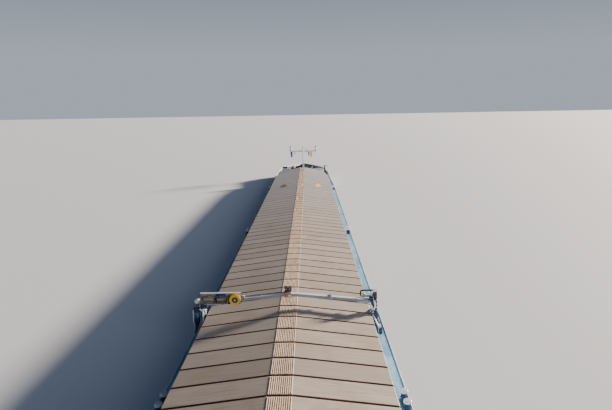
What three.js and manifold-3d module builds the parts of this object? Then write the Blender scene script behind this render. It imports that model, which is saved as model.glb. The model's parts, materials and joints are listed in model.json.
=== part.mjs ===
// River barge: a self-propelled dry-cargo vessel for inland waterways, 105 m by 9.5 m, at one tenth scale.
// Millimetres. +X is forward, +Y is port, +Z is up. The origin is on the flat bottom, under the middle of the
// length.
import * as THREE from "three";
import { mergeVertices } from "three/addons/utils/BufferGeometryUtils.js";
import Module from "manifold-3d";

const wasm = await Module();
wasm.setup();

// One metre of the real vessel, in millimetres of this model. Every size below is a real one times m.
const m = 100;
// Gap between pieces that rest on each other across a slanted or curved face.
const seat = 0.003 * m;

// Hull
const bow = 52.5 * m; // stem at the deck
const transom = -52.3 * m;
const deck = 3.1 * m; // gangway above the flat bottom
const halfBeam = 4.69 * m; // to the plating, without the rub rail
const railOut = 0.06 * m; // rub rail, proud of the plating
const railLow = 0.42 * m; // rub rail's foot, below the deck edge
const railTall = 0.22 * m;
const gunwaleTop = deck + 0.04 * m;
const gunwaleThick = 0.08 * m;

// Hold and hatch covers
const coverCount = 56;
const coverGroups = 7;
const pitch = 1.368 * m; // one hatch cover along the hold
const holdFore = 39.15 * m;
const holdAft = holdFore - coverCount * pitch;
const eave = 4.25 * m; // top of a cover at its side
const ridge = 4.7 * m; // top of a cover at its walkway
const eaveHalf = 3.9 * m;
const walkHalf = 0.415 * m;
const taperFrom = holdAft + 50 * pitch; // the last six covers narrow with the bow
const foreHalf = 3.2 * m; // half width of the covers at the fore end
const coverPlate = 0.12 * m;
const panelRise = 0.05 * m; // raised field of each cover
const jointGap = 0.11 * m; // dark joint between two fields
const lipDrop = 0.23 * m;
const lipThick = 0.05 * m;
const coamingIn = 0.35 * m; // hold wall, inside the eave
const coamingThick = 0.12 * m;
const floorThick = 0.5 * m;

// Hatch crane, which runs on deck rails over the covers
const craneX = -24.8 * m; // middle of its beam
const craneRailY = 4.12 * m;
const craneRailTall = 0.06 * m;
const craneRailHalf = 0.03 * m;
const wheelRadius = 0.16 * m;
const wheelHalf = 0.035 * m;
const wheelPlaces = { aft: -0.1 * m, fore: 2.4 * m }; // from the beam
const wheelRoom = 0.05 * m; // gap round a wheel in its foot
const axleRadius = 0.034 * m;
const boreRadius = 0.041 * m;
const axleHigh = deck + craneRailTall + seat + wheelRadius;
const footHalf = 0.12 * m;
const footLow = deck + 0.16 * m;
const footTop = deck + 0.52 * m;
const postHalf = 0.09 * m;
const postTop = 4.58 * m;
const stemHalf = 0.05 * m; // square stem that slides in the post
const sleeveHalf = 0.056 * m;
const beamUnder = 5.06 * m;
const beamTop = 5.2 * m;
const beamHalf = 0.13 * m;
const beamEnd = craneRailY + postHalf;
const beamSlope = 0.104; // fall of the beam from its middle part to its ends
const overBollards = 3.66 * m; // what reaches outboard of a foot stays above this

// Foredeck
const mastX = 50.2 * m;
const mastPivot = 3.95 * m;
const mastTop = 7.4 * m;
const yardZ = 6.6 * m;
const yardHalf = 2.3 * m;

// Stern
const shaftZ = 1.0 * m;
const propX = -47.7 * m;
const propRadius = 0.8 * m;
const rudderX = -49.6 * m;
const rudderY = 0.5 * m;
const houseFore = -41.3 * m;
const houseAft = -49.0 * m;
const houseHalf = 3.3 * m;
const houseTop = 5.25 * m;
const helmFore = -37.9 * m;
const helmAft = -40.9 * m;
const helmHalf = 1.9 * m;
const helmFloor = 4.28 * m;
const helmTop = 6.48 * m;
const helmWall = 0.08 * m;
const columnX = -39.4 * m;
const columnHalf = 0.5 * m;
const guideHalf = 0.508 * m;
const guideTall = 1.0 * m;

const finishes = {
  hullPaint: { color: 0x1b2b4a, roughness: 0.5, metalness: 0.1 },
  deckBlue: { color: 0xa9cfe0, roughness: 0.6, metalness: 0.0 },
  coverAluminium: { color: 0xb9aca0, roughness: 0.55, metalness: 0.5 },
  whitePaint: { color: 0xe8ebee, roughness: 0.45, metalness: 0.1 },
  greyPaint: { color: 0x9aa3ad, roughness: 0.5, metalness: 0.3 },
  blackSteel: { color: 0x1c2026, roughness: 0.5, metalness: 0.4 },
  yellowPaint: { color: 0xe2b714, roughness: 0.4, metalness: 0.0 },
  bronze: { color: 0xa5752f, roughness: 0.35, metalness: 0.9 },
};

// Makes one closed solid of a closed geometry.
function solid(geometry) {
  const plain = geometry.index ? geometry.toNonIndexed() : geometry;
  const bare = new THREE.BufferGeometry().setAttribute("position", plain.getAttribute("position"));
  const merged = mergeVertices(bare, 1e-3);
  return new wasm.Manifold(
    new wasm.Mesh({
      numProp: 3,
      vertProperties: merged.attributes.position.array,
      triVerts: new Uint32Array(merged.index.array),
    }),
  );
}

function union(solids) {
  return solids.reduce((whole, next) => whole.add(next));
}

function geometryOf(made) {
  const mesh = made.getMesh();
  const geometry = new THREE.BufferGeometry();
  geometry.setAttribute("position", new THREE.BufferAttribute(mesh.vertProperties, mesh.numProp));
  geometry.setIndex(new THREE.BufferAttribute(mesh.triVerts, 1));
  geometry.computeVertexNormals();
  return geometry;
}

function box(x0, x1, y0, y1, z0, z1) {
  const geometry = new THREE.BoxGeometry(x1 - x0, y1 - y0, z1 - z0);
  return solid(geometry.translate((x0 + x1) / 2, (y0 + y1) / 2, (z0 + z1) / 2));
}

// A round bar from one point to another; with a second radius it tapers.
function bar(from, to, radius, sides = 10, endRadius = radius) {
  const start = new THREE.Vector3(...from);
  const along = new THREE.Vector3(...to).sub(start);
  const geometry = new THREE.CylinderGeometry(endRadius, radius, along.length(), sides);
  geometry.translate(0, along.length() / 2, 0);
  const turn = new THREE.Quaternion().setFromUnitVectors(new THREE.Vector3(0, 1, 0), along.normalize());
  geometry.applyQuaternion(turn).translate(...start.toArray());
  return solid(geometry);
}

// Extrusions of an outline: along X from [y, z], along Y from [x, z] and along Z from [x, y] points.
const directions = {
  x: new THREE.Matrix4().set(0, 0, 1, 0, 1, 0, 0, 0, 0, 1, 0, 0, 0, 0, 0, 1),
  y: new THREE.Matrix4().set(1, 0, 0, 0, 0, 0, -1, 0, 0, 1, 0, 0, 0, 0, 0, 1),
  z: new THREE.Matrix4(),
};

function prism(direction, outline, from, to) {
  const shape = new THREE.Shape(outline.map(([a, b]) => new THREE.Vector2(a, b)));
  const geometry = new THREE.ExtrudeGeometry(shape, { depth: to - from, bevelEnabled: false });
  geometry.translate(0, 0, direction === "y" ? -to : from).applyMatrix4(directions[direction]);
  return solid(geometry);
}

// Closed skin over rings of equally many points. Rings of more than four lie across X, anticlockwise as seen
// from ahead.
function loft(rings) {
  const count = rings[0].length;
  const corners = [];
  for (let i = 0; i + 1 < rings.length; i++) {
    for (let j = 0; j < count; j++) {
      const k = (j + 1) % count;
      corners.push(rings[i][j], rings[i][k], rings[i + 1][k]);
      corners.push(rings[i][j], rings[i + 1][k], rings[i + 1][j]);
    }
  }
  const last = rings.length - 1;
  for (const [ring, swap] of [
    [rings[0], true],
    [rings[last], false],
  ]) {
    const flat = ring.map(([, y, z]) => new THREE.Vector2(y, z));
    const faces = count > 4 ? THREE.ShapeUtils.triangulateShape(flat, []) : [[0, 1, 2], [0, 2, 3]];
    for (const [a, b, c] of faces) {
      corners.push(ring[swap ? c : a], ring[b], ring[swap ? a : c]);
    }
  }
  const geometry = new THREE.BufferGeometry();
  geometry.setAttribute("position", new THREE.Float32BufferAttribute(corners.flat(), 3));
  return solid(geometry);
}

// Reads a table of [x, value, ...] rows by straight lines between its rows.
function lookUp(table, x, column = 1) {
  const above = table.findIndex(([place]) => place >= x);
  if (above === 0) return table[0][column];
  if (above < 0) return table[table.length - 1][column];
  const [low, high] = [table[above - 1], table[above]];
  return low[column] + ((high[column] - low[column]) * (x - low[0])) / (high[0] - low[0]);
}

function coverHalf(x) {
  const share = Math.max(0, x - taperFrom) / (holdFore - taperFrom);
  return eaveHalf + (foreHalf - eaveHalf) * share;
}

function mirrored(points) {
  return points.map(([y, z]) => [-y, z]).reverse();
}

// Half a hull section, from the bottom up to the deck edge, as [y, z] points.
const bilgeSteps = 4;
function halfSection({ flat, side, beam, keel, bilge, top }) {
  const points = [[flat, keel]];
  for (let step = 1; step <= bilgeSteps; step++) {
    const angle = (step / bilgeSteps) * (Math.PI / 2);
    points.push([flat + (side - flat) * Math.sin(angle), keel + bilge * (1 - Math.cos(angle))]);
  }
  const foot = top - railLow;
  const [rise, run] = [foot - keel - bilge, top - keel - bilge];
  const plating = side + (beam - side) * (rise / run);
  points.push([plating, foot], [plating + railOut, foot + 0.05 * m], [beam + railOut, foot + railTall]);
  points.push([beam, foot + railTall + 0.05 * m], [beam, top]);
  return points;
}

// Stations of the bow and stern in metres: place along the hull, half widths of the bottom, side and deck,
// bottom's height, bilge's height and deck's height.
const bowStations = [
  [holdFore / m, 3.75, 4.3, 4.35, 0.0, 0.6, 3.1],
  [43.2, 3.1, 3.95, 4.08, 0.0, 0.8, 3.2],
  [45.2, 2.5, 3.5, 3.78, 0.0, 1.0, 3.28],
  [47.2, 1.7, 2.7, 3.18, 0.05, 1.1, 3.35],
  [49.2, 0.8, 1.6, 2.2, 0.3, 1.2, 3.42],
  [50.3, 0.4, 0.95, 1.5, 0.7, 1.1, 3.46],
  [51.6, 0.12, 0.3, 0.65, 1.5, 0.8, 3.49],
  [52.5, 0.03, 0.05, 0.1, 2.4, 0.3, 3.5],
];
const sternStations = [
  [-52.3, 0.9, 1.2, 1.5, 2.35, 0.25, 3.1],
  [-52.1, 1.3, 2.1, 2.5, 2.25, 0.3, 3.1],
  [-51.4, 1.7, 2.9, 3.3, 2.15, 0.35, 3.1],
  [-50.3, 1.9, 3.6, 4.0, 2.08, 0.4, 3.1],
  [-48.5, 1.9, 4.1, 4.4, 2.02, 0.45, 3.1],
  [-47.0, 1.9, 4.35, 4.6, 1.98, 0.5, 3.1],
  [-45.5, 2.2, 4.5, 4.67, 1.3, 0.7, 3.1],
  [-43.5, 3.0, 4.65, 4.69, 0.55, 0.8, 3.1],
  [-41.0, 3.9, 4.69, 4.69, 0.0, 0.6, 3.1],
  [holdAft / m, 4.19, 4.69, 4.69, 0.0, 0.5, 3.1],
];
const hullTaper = [
  [29.2 * m, halfBeam],
  [35.2 * m, 4.55 * m],
  [holdFore, 4.35 * m],
];

function ringOf(station) {
  const [x, flat, side, beam, keel, bilge, top] = station.map((value) => value * m);
  const half = halfSection({ flat, side, beam, keel, bilge, top });
  return [...half, ...mirrored(half)].map(([y, z]) => [x, y, z]);
}

// A mooring bollard pair on its plate, which is welded to the deck.
function bollards(x, y, z) {
  const [half, postRadius, postTall, capRadius, capTall] = [0.36, 0.12, 0.42, 0.145, 0.06].map((v) => v * m);
  const posts = [-half, half].flatMap((dx) => [
    bar([x + dx, y, z - seat], [x + dx, y, z + postTall], postRadius, 8),
    bar([x + dx, y, z + postTall - seat], [x + dx, y, z + postTall + capTall], capRadius, 8),
  ]);
  const plate = box(x - 0.54 * m, x + 0.54 * m, y - 0.145 * m, y + 0.145 * m, z - seat, z + 0.04 * m);
  return union([plate, ...posts]);
}

function ventilator(x, y, z, tall = 0.45 * m) {
  const [radius, capRadius, capTall] = [0.1, 0.18, 0.16].map((v) => v * m);
  return union([
    bar([x, y, z - seat], [x, y, z + tall], radius, 8),
    bar([x, y, z + tall - seat], [x, y, z + tall + capTall], capRadius, 8, capRadius * 0.6),
  ]);
}

// Side tank between two places along the hold, from the hold's wall out to the plating.
function sideTank(side, from, to) {
  const bends = hullTaper.map(([x]) => x).filter((x) => x > from && x < to);
  const rings = [from, ...bends, to].map((x) => {
    const beam = lookUp(hullTaper, x);
    const half = halfSection({ flat: beam - 0.5 * m, side: beam, beam, keel: 0, bilge: 0.5 * m, top: deck });
    const inner = coverHalf(x) - coamingIn;
    const section = [[inner, 0], ...half, [inner, deck]];
    return (side > 0 ? section : mirrored(section)).map(([y, z]) => [x, y, z]);
  });
  return loft(rings);
}

// The rail on the gangway that the crane rolls on.
function craneRail(side, from, to) {
  const middle = side * craneRailY;
  return box(from, to, middle - craneRailHalf, middle + craneRailHalf, deck - seat, deck + craneRailTall);
}

function hullBow() {
  const body = loft(bowStations.map(ringOf));
  const sides = [1, -1].flatMap((side) => [
    sideTank(side, taperFrom, holdFore + seat),
    craneRail(side, taperFrom, holdFore - 0.1 * m),
  ]);
  const deckAt = (x) => lookUp(bowStations, x / m, 6) * m;
  const fittings = [1, -1].flatMap((side) => [
    bollards(44.3 * m, side * 2.995 * m, deckAt(43.7 * m)),
    bollards(48.3 * m, side * 1.6 * m, deckAt(47.7 * m)),
    ventilator(42.4 * m, side * 3.4 * m, deckAt(42.3 * m), 0.75 * m),
    bar([46.3 * m, side * 2.9 * m, 3.0 * m], [46.45 * m, side * 3.62 * m, 2.86 * m], 0.17 * m, 12),
  ]);
  return union([body, ...sides, ...fittings]);
}

function hullStern() {
  const body = loft(sternStations.map(ringOf));
  const skegOutline = [
    [-47.15, 0.75],
    [-46.3, 0.12],
    [-40.5, 0.02],
    [-40.0, 0.3],
    [-43.0, 2.0],
    [-47.15, 2.2],
  ];
  const skegHalf = 0.16 * m;
  const skeg = prism("y", skegOutline.map(([x, z]) => [x * m, z * m]), -skegHalf, skegHalf);
  const boss = bar([-45.6 * m, 0, shaftZ], [-47.3 * m, 0, shaftZ], 0.24 * m, 16, 0.19 * m);
  const columnWell = box(-40.02 * m, -38.78 * m, -0.62 * m, 0.62 * m, 0.7 * m, deck + m);
  const engineRoom = box(-44.2 * m, -41.5 * m, -1.3 * m, 1.3 * m, 1.0 * m, deck + m);
  const moorings = [1, -1].map((side) => bollards(-50.2 * m, side * 2.9 * m, deck));
  return union([body, skeg, boss, ...moorings]).subtract(columnWell).subtract(engineRoom);
}

// Wing tank along the straight part of the hold, with the crane's rail and the bollards on its gangway.
function wingTank(side) {
  const moorings = [-31.4, -2.8, 24.4].map((x) => bollards(x * m, side * 4.44 * m, deck));
  const rail = craneRail(side, holdAft + 0.3 * m, taperFrom);
  return union([sideTank(side, holdAft, taperFrom), rail, ...moorings]);
}

function holdFloor() {
  const edge = [holdAft, taperFrom, holdFore].map((x) => [x, coverHalf(x) - coamingIn]);
  const outline = [...edge.map(([x, y]) => [x, -y]), ...edge.reverse()];
  return prism("z", outline, 0, floorThick);
}

// A wall that stands on the deck along a path of [x, y, foot, top] points, thickened inboard.
function wallAlong(path, thick, lean = 0) {
  const rings = path.map(([x, y, foot, top], i) => {
    const before = path[Math.max(0, i - 1)];
    const after = path[Math.min(path.length - 1, i + 1)];
    const along = new THREE.Vector2(after[0] - before[0], after[1] - before[1]).normalize();
    const [inX, inY] = [along.y * thick, -along.x * thick];
    const out = lean / thick;
    return [
      [x, y, foot],
      [x - inX * out, y - inY * out, top],
      [x + inX * (1 - out), y + inY * (1 - out), top],
      [x + inX, y + inY, foot],
    ];
  });
  return loft(rings);
}

// Height of the covers' underside at a distance from the middle line.
function coverUnder(x, y) {
  const share = (y - walkHalf) / (coverHalf(x) - lipThick - walkHalf);
  return ridge - panelRise - coverPlate + (eave + seat - ridge) * share;
}

// Joints between the covers that narrow, between two places.
function taperJoints(from, to) {
  const joints = Array.from({ length: coverCount }, (_, k) => holdAft + k * pitch);
  return joints.filter((x) => x >= taperFrom && x > from && x < to);
}

// Side wall of the hold above the deck, between two places along it. The covers rest on its top.
function coaming(side, from, to) {
  const rings = [from, ...taperJoints(from, to), to].map((x) => {
    const inner = coverHalf(x) - coamingIn;
    const outer = inner + coamingThick;
    const gap = x > taperFrom ? 3 * seat : seat;
    const [topIn, topOut] = [inner, outer].map((y) => coverUnder(x, y) - gap);
    const section = [[inner, deck], [outer, deck], [outer, topOut], [inner, topIn]];
    return (side > 0 ? section : mirrored(section)).map(([y, z]) => [x, y, z]);
  });
  return loft(rings);
}

// End wall of the hold, with its top under the covers' gable.
function endWall(from, to, half) {
  const under = coverPlate + panelRise + seat;
  const outline = [[half, deck], [half, eave - under], [walkHalf, ridge - under]];
  return prism("x", [...outline, ...mirrored(outline)], from, to);
}

// Fore end of the hold: the end wall, the tapered side walls and the board ahead of the covers.
function foreWalls() {
  const thick = 0.12 * m;
  const wall = endWall(holdFore - thick, holdFore, coverHalf(holdFore) - coamingIn + 0.5 * coamingThick);
  const boardHalf = 3.4 * m;
  const board = box(holdFore, holdFore + thick, -boardHalf, boardHalf, deck + 0.02 * m, 4.42 * m);
  const sides = [1, -1].map((side) => coaming(side, taperFrom, holdFore));
  return union([wall, board, ...sides]);
}

function aftWall() {
  const thick = 0.12 * m;
  return endWall(holdAft, holdAft + thick, eaveHalf - coamingIn - seat);
}

// Gable section of the covers. A rise lifts the top, so that the raised fields follow the plate.
function coverRing(x, rise, hollow) {
  const half = coverHalf(x);
  const plateTop = [[half, eave - panelRise + rise], [walkHalf, ridge - panelRise + rise]];
  const under = panelRise + coverPlate;
  const skirt = half - lipThick;
  const fieldUnder = 0.08 * m;
  const lipUnder = eave - lipDrop;
  const bottom = hollow
    ? [[walkHalf, ridge - under], [skirt, eave - under + seat], [skirt, lipUnder], [half, lipUnder]]
    : [[walkHalf, ridge - fieldUnder], [half, eave - fieldUnder]];
  return [...plateTop, ...mirrored(plateTop), ...mirrored(bottom), ...bottom].map(([y, z]) => [x, y, z]);
}

function coverGroup(index) {
  const count = coverCount / coverGroups;
  const first = index * count;
  const [start, end] = [holdAft + first * pitch, holdAft + (first + count) * pitch];
  const [from, to] = [start + 0.03 * m, end - 0.03 * m];
  const bends = [from, ...taperJoints(from, to), to];
  const plate = loft(bends.map((x) => coverRing(x, 0, true)));
  const fields = [];
  for (let k = 0; k < count; k++) {
    const low = start + k * pitch + jointGap / 2;
    const high = start + (k + 1) * pitch - jointGap / 2;
    fields.push(loft([low, high].map((x) => coverRing(x, panelRise, false))));
  }
  return union([plate, ...fields]);
}

// Tops of the bulwarks: [x, half width, height] in metres, from aft to the stem and from ahead to the stern.
const bowRail = [
  [29.2, 4.69, gunwaleTop / m],
  [35.2, 4.55, 3.2],
  [holdFore / m, 4.35, 3.53],
  [43.2, 4.08, 3.76],
  [45.2, 3.78, 3.9],
  [47.2, 3.18, 3.97],
  [49.2, 2.2, 4.03],
  [50.3, 1.5, 4.07],
  [51.6, 0.65, 4.1],
];
const sternRail = [
  [-43.5, 4.69, gunwaleTop / m],
  [-46.0, 4.635, 3.18],
  [-47.0, 4.6, 3.3],
  [-48.5, 4.4, 3.9],
  [-50.3, 4.0, 4.0],
  [-51.4, 3.3, 4.0],
  [-52.1, 2.5, 4.0],
  [-52.29, 1.4, 4.0],
];
const sideRail = [
  [-43.495, 4.69, gunwaleTop / m],
  [29.195, 4.69, gunwaleTop / m],
];

function railPath(table, footAt, side) {
  return table.map(([x, y, top]) => [x * m, side * y * m, footAt(x), top * m]);
}

// One side of the bow bulwark. The two sides meet at the stem.
function bowBulwark(side) {
  const footAt = (x) => lookUp(bowStations, x, 6) * m + seat;
  const tip = [bow - 0.02 * m, 0, footAt(bow / m), 4.12 * m];
  const path = [...railPath(bowRail, footAt, side), tip];
  const wall = wallAlong(side > 0 ? path : path.reverse(), 0.07 * m);
  const [near, far] = [side * 0.5 * seat, -side * halfBeam].sort((a, b) => a - b);
  return wall.subtract(box(0, bow, near, far, 0, mastTop));
}

function sternBulwark() {
  const half = railPath(sternRail, () => deck + seat, -1);
  const other = railPath(sternRail, () => deck + seat, 1).reverse();
  return wallAlong([...half, ...other], 0.07 * m);
}

function gunwale(side) {
  const path = railPath(sideRail, () => deck + seat, side);
  return wallAlong(side > 0 ? path : path.reverse(), gunwaleThick);
}

function windlass() {
  const [x, z] = [45.9 * m, 3.292 * m];
  const shaftHigh = z + 0.42 * m;
  const wheels = [
    [0.45, 0.18, 0.28],
    [0.72, 0.1, 0.34],
    [1.0, 0.22, 0.15],
    [1.14, 0.06, 0.22],
  ];
  const turned = [1, -1].flatMap((side) =>
    wheels.map(([y, wide, radius]) => {
      const ends = [-0.5, 0.5].map((end) => [x, side * (y + end * wide) * m, shaftHigh]);
      return bar(...ends, radius * m, 10);
    }),
  );
  const frames = [-0.85, -0.3, 0.3, 0.85].map((y) => {
    const outline = [[-0.4, 0.05], [0.4, 0.05], [0.12, 0.52], [-0.12, 0.52]];
    return prism("y", outline.map(([a, b]) => [x + a * m, z + b * m]), (y - 0.03) * m, (y + 0.03) * m);
  });
  const plate = box(x - 0.55 * m, x + 0.55 * m, -0.95 * m, 0.95 * m, z + 0.035 * m, z + 0.1 * m);
  const gearbox = box(x - 0.32 * m, x + 0.3 * m, -0.25 * m, 0.25 * m, z + 0.08 * m, z + 0.62 * m);
  const motor = bar([x - 0.75 * m, 0, z + 0.34 * m], [x - 0.2 * m, 0, z + 0.34 * m], 0.16 * m, 10);
  const motorFoot = box(x - 0.7 * m, x - 0.3 * m, -0.14 * m, 0.14 * m, z + 0.04 * m, z + 0.3 * m);
  const shaft = bar([x, -1.2 * m, shaftHigh], [x, 1.2 * m, shaftHigh], 0.06 * m, 8);
  return union([plate, gearbox, motor, motorFoot, shaft, ...frames, ...turned]);
}

// Stockless anchor, hanging flat against the hull from its hawse pipe. Local frame: the hull is at -Y.
function anchor() {
  const shank = box(-0.06 * m, 0.06 * m, 0.0, 0.12 * m, -0.75 * m, 0.14 * m);
  const crown = box(-0.42 * m, 0.42 * m, 0.0, 0.2 * m, -0.85 * m, -0.68 * m);
  const fluke = [[0.14, -0.78], [0.44, -0.8], [0.46, -0.5], [0.34, -0.02], [0.24, -0.35]];
  const flukes = [1, -1].map((side) =>
    prism("y", fluke.map(([x, z]) => [side * x * m, z * m]), 0.02 * m, 0.12 * m),
  );
  return union([shank, crown, ...flukes]);
}

function foreHatch() {
  const outer = box(41.5 * m, 42.7 * m, -0.6 * m, 0.6 * m, 3.19 * m, 3.72 * m);
  return outer.subtract(box(41.58 * m, 42.62 * m, -0.52 * m, 0.52 * m, 3.24 * m, 3.8 * m));
}

function foreHatchLid() {
  const top = box(41.42 * m, 42.78 * m, -0.68 * m, 0.68 * m, 3.723 * m, 3.79 * m);
  const handle = box(41.5 * m, 41.56 * m, -0.2 * m, 0.2 * m, 3.78 * m, 3.85 * m);
  return top.add(handle);
}

function mastBase() {
  const cheeks = [1, -1].map((side) => {
    const outline = [[-0.22, 3.5], [0.22, 3.5], [0.12, 4.06], [-0.12, 4.06]];
    const placed = outline.map(([x, z]) => [mastX + x * m, z * m]);
    return prism("y", placed, side * 0.17 * m - 0.03 * m, side * 0.17 * m + 0.03 * m);
  });
  const foot = box(mastX - 0.3 * m, mastX + 0.3 * m, -0.25 * m, 0.25 * m, 3.468 * m, 3.54 * m);
  return union([foot, ...cheeks]);
}

// Folding mast with its yard, the two end lanterns, two small ones and the masthead lantern.
function mast() {
  const pole = bar([mastX, 0, 3.62 * m], [mastX, 0, mastTop - 0.3 * m], 0.11 * m, 10, 0.1 * m);
  const pivot = bar([mastX, -0.135 * m, mastPivot], [mastX, 0.135 * m, mastPivot], 0.06 * m, 10);
  const yard = bar([mastX, -yardHalf, yardZ], [mastX, yardHalf, yardZ], 0.045 * m, 8);
  const lanternTable = [
    // distance from the middle, foot from the yard, height, radius
    [yardHalf, 0.03, 0.87, 0.14],
    [0.62 * m, -0.1, 0.22, 0.09],
  ];
  const lanterns = [1, -1].flatMap((side) =>
    lanternTable.map(([y, above, tall, radius]) => {
      const foot = yardZ + above * m;
      return bar([mastX, side * y, foot], [mastX, side * y, foot + tall * m], radius * m, 10);
    }),
  );
  const masthead = bar([mastX, 0, mastTop - 0.32 * m], [mastX, 0, mastTop], 0.11 * m, 10);
  const brackets = [1, -1].map((side) =>
    bar([mastX, side * 0.05 * m, yardZ - 0.55 * m], [mastX, side * 0.9 * m, yardZ], 0.025 * m, 6),
  );
  return union([pole, pivot, yard, masthead, ...lanterns, ...brackets]);
}

// One leg of the crane: a foot with wells and pins for its two wheels, a hollow post and a brace.
// The port leg carries a cabinet outboard, with a cap on it, and a forked pipe aft of the post.
// Local frame: the vessel's, but for X, which is from the beam. Made to port.
function craneLeg(withCabinet) {
  const [inner, outer] = [craneRailY - footHalf, craneRailY + footHalf];
  const past = 0.3 * m;
  const foot = box(wheelPlaces.aft - past, wheelPlaces.fore + past, inner, outer, footLow, footTop);
  const places = Object.values(wheelPlaces);
  const half = wheelRadius + wheelRoom;
  const wells = places.map((x) => {
    const sides = [craneRailY - wheelHalf - wheelRoom, craneRailY + wheelHalf + wheelRoom];
    return box(x - half, x + half, ...sides, footLow - m, axleHigh + half);
  });
  const pins = places.map((x) => bar([x, inner, axleHigh], [x, outer, axleHigh], axleRadius, 12));
  const bogie = union([wells.reduce((left, cut) => left.subtract(cut), foot), ...pins]);
  const across = [craneRailY - postHalf, craneRailY + postHalf];
  const post = box(-postHalf, postHalf, ...across, footTop - seat, postTop);
  const braceTop = [0.05 * m, craneRailY, postTop - 0.15 * m];
  const brace = bar([2.0 * m, craneRailY, footTop - 0.02 * m], braceTop, 0.04 * m, 8);
  const sleeve = [craneRailY - sleeveHalf, craneRailY + sleeveHalf];
  const well = box(-sleeveHalf, sleeveHalf, ...sleeve, footTop + 0.04 * m, postTop + m);
  const parts = [bogie, post, brace];
  if (withCabinet) {
    parts.push(box(-0.2 * m, 0.3 * m, craneRailY + 0.08 * m, 4.58 * m, overBollards, postTop - 0.03 * m));
    parts.push(bar([0.1 * m, 4.4 * m, postTop - 0.05 * m], [0.1 * m, 4.4 * m, 4.93 * m], 0.13 * m, 12));
    const fork = [-0.2 * m, craneRailY - 0.02 * m, 4.1 * m];
    const feet = [-0.07, 0.07].map((dy) => [-0.2 * m, craneRailY + dy * m, footTop - 0.02 * m]);
    parts.push(...feet.map((end) => bar(end, fork, 0.025 * m, 6)));
    parts.push(bar(fork, [-0.2 * m, fork[1], postTop - 0.05 * m], 0.03 * m, 6));
    parts.push(box(-0.22 * m, 0, fork[1] - 0.025 * m, fork[1] + 0.025 * m, 4.3 * m, 4.36 * m));
  }
  return union(parts).subtract(well);
}

// Rolls on the deck rail. Local frame: on its axle, which lies along Y.
function craneWheel() {
  const profile = [
    [boreRadius, -wheelHalf],
    [wheelRadius, -wheelHalf],
    [wheelRadius, wheelHalf],
    [boreRadius, wheelHalf],
    [boreRadius, -wheelHalf],
  ];
  return solid(new THREE.LatheGeometry(profile.map(([r, y]) => new THREE.Vector2(r, y)), 16));
}

function beamFall(y) {
  return beamSlope * Math.max(0, Math.abs(y) - walkHalf);
}

function craneBeam() {
  const line = [-beamEnd, -walkHalf, walkHalf, beamEnd];
  const outline = [
    ...line.map((y) => [y, beamUnder - beamFall(y)]),
    ...[...line].reverse().map((y) => [y, beamTop - beamFall(y)]),
  ];
  const beam = prism("x", outline, -beamHalf, beamHalf);
  const stems = [1, -1].map((side) => {
    const middle = side * craneRailY;
    const sides = [middle - stemHalf, middle + stemHalf];
    return box(-stemHalf, stemHalf, ...sides, footTop + 0.08 * m, beamTop - beamFall(middle) - 0.05 * m);
  });
  const sleeves = [1, -1].map((side) => {
    const sides = [side * 3.9 * m, side * (beamEnd + 0.02 * m)].sort((a, b) => a - b);
    return box(-beamHalf - 0.03 * m, beamHalf + 0.03 * m, ...sides, postTop + 0.01 * m, postTop + 0.33 * m);
  });
  const clamps = [-2.0, 1.6].map((y) => {
    const fall = beamFall(y * m);
    const [low, high] = [beamUnder - fall - 0.06 * m, beamTop - fall + 0.08 * m];
    return box(-beamHalf - 0.03 * m, beamHalf + 0.03 * m, (y - 0.06) * m, (y + 0.06) * m, low, high);
  });
  const clampHalf = beamHalf + 0.03 * m;
  const clampTop = beamTop + 0.02 * m;
  const middleClamp = box(-clampHalf, clampHalf, -0.13 * m, 0.23 * m, beamUnder - 0.03 * m, clampTop);
  return union([beam, ...stems, ...sleeves, ...clamps, middleClamp]);
}

function controlBox() {
  const aft = beamHalf + 0.035 * m;
  return box(aft, aft + 0.27 * m, -0.12 * m, 0.2 * m, beamTop - 0.12 * m, beamTop + 0.22 * m);
}

// Power pack on the aft side of the port end of the beam: a shelf with a tall back, an engine and a tank.
const packLow = 4.8 * m;
const reelPlace = [-0.5 * m, 2.5 * m, 5.1 * m];
function powerPack() {
  const back = -beamHalf - 0.03 * m - seat;
  const [inner, outer, aft] = [2.85 * m, 4.18 * m, -0.58 * m];
  const [reelX, reelY, reelZ] = reelPlace;
  const board = box(back - 0.04 * m, back, 2.3 * m, outer, packLow, packLow + 0.5 * m);
  const tray = box(aft, back, inner, outer, packLow, packLow + 0.04 * m);
  const ends = [inner, outer - 0.04 * m].map((y) =>
    box(aft, back, y, y + 0.04 * m, packLow, packLow + 0.4 * m),
  );
  const motor = box(-0.5 * m, -0.2 * m, 3.3 * m, 4.05 * m, packLow + 0.03 * m, packLow + 0.32 * m);
  const tank = box(-0.42 * m, -0.19 * m, 2.95 * m, 3.22 * m, packLow + 0.03 * m, packLow + 0.42 * m);
  const spacer = bar([back - 0.02 * m, reelY, reelZ], [reelX + 0.103 * m, reelY, reelZ], 0.08 * m, 10);
  const pin = bar([back - 0.02 * m, reelY, reelZ], [reelX - 0.13 * m, reelY, reelZ], axleRadius, 12);
  return union([board, tray, ...ends, motor, tank, spacer, pin]);
}

// Yellow reel. Local frame: on its axle, which lies along X.
function reel() {
  const [rim, waist, half] = [0.26, 0.17, 0.1].map((v) => v * m);
  const edge = 0.03 * m;
  const profile = [
    [boreRadius, -half],
    [rim, -half],
    [rim, edge - half],
    [waist, edge - half],
    [waist, half - edge],
    [rim, half - edge],
    [rim, half],
    [boreRadius, half],
    [boreRadius, -half],
  ];
  const geometry = new THREE.LatheGeometry(profile.map(([r, y]) => new THREE.Vector2(r, y)), 20);
  return solid(geometry.rotateZ(-Math.PI / 2));
}

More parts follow.
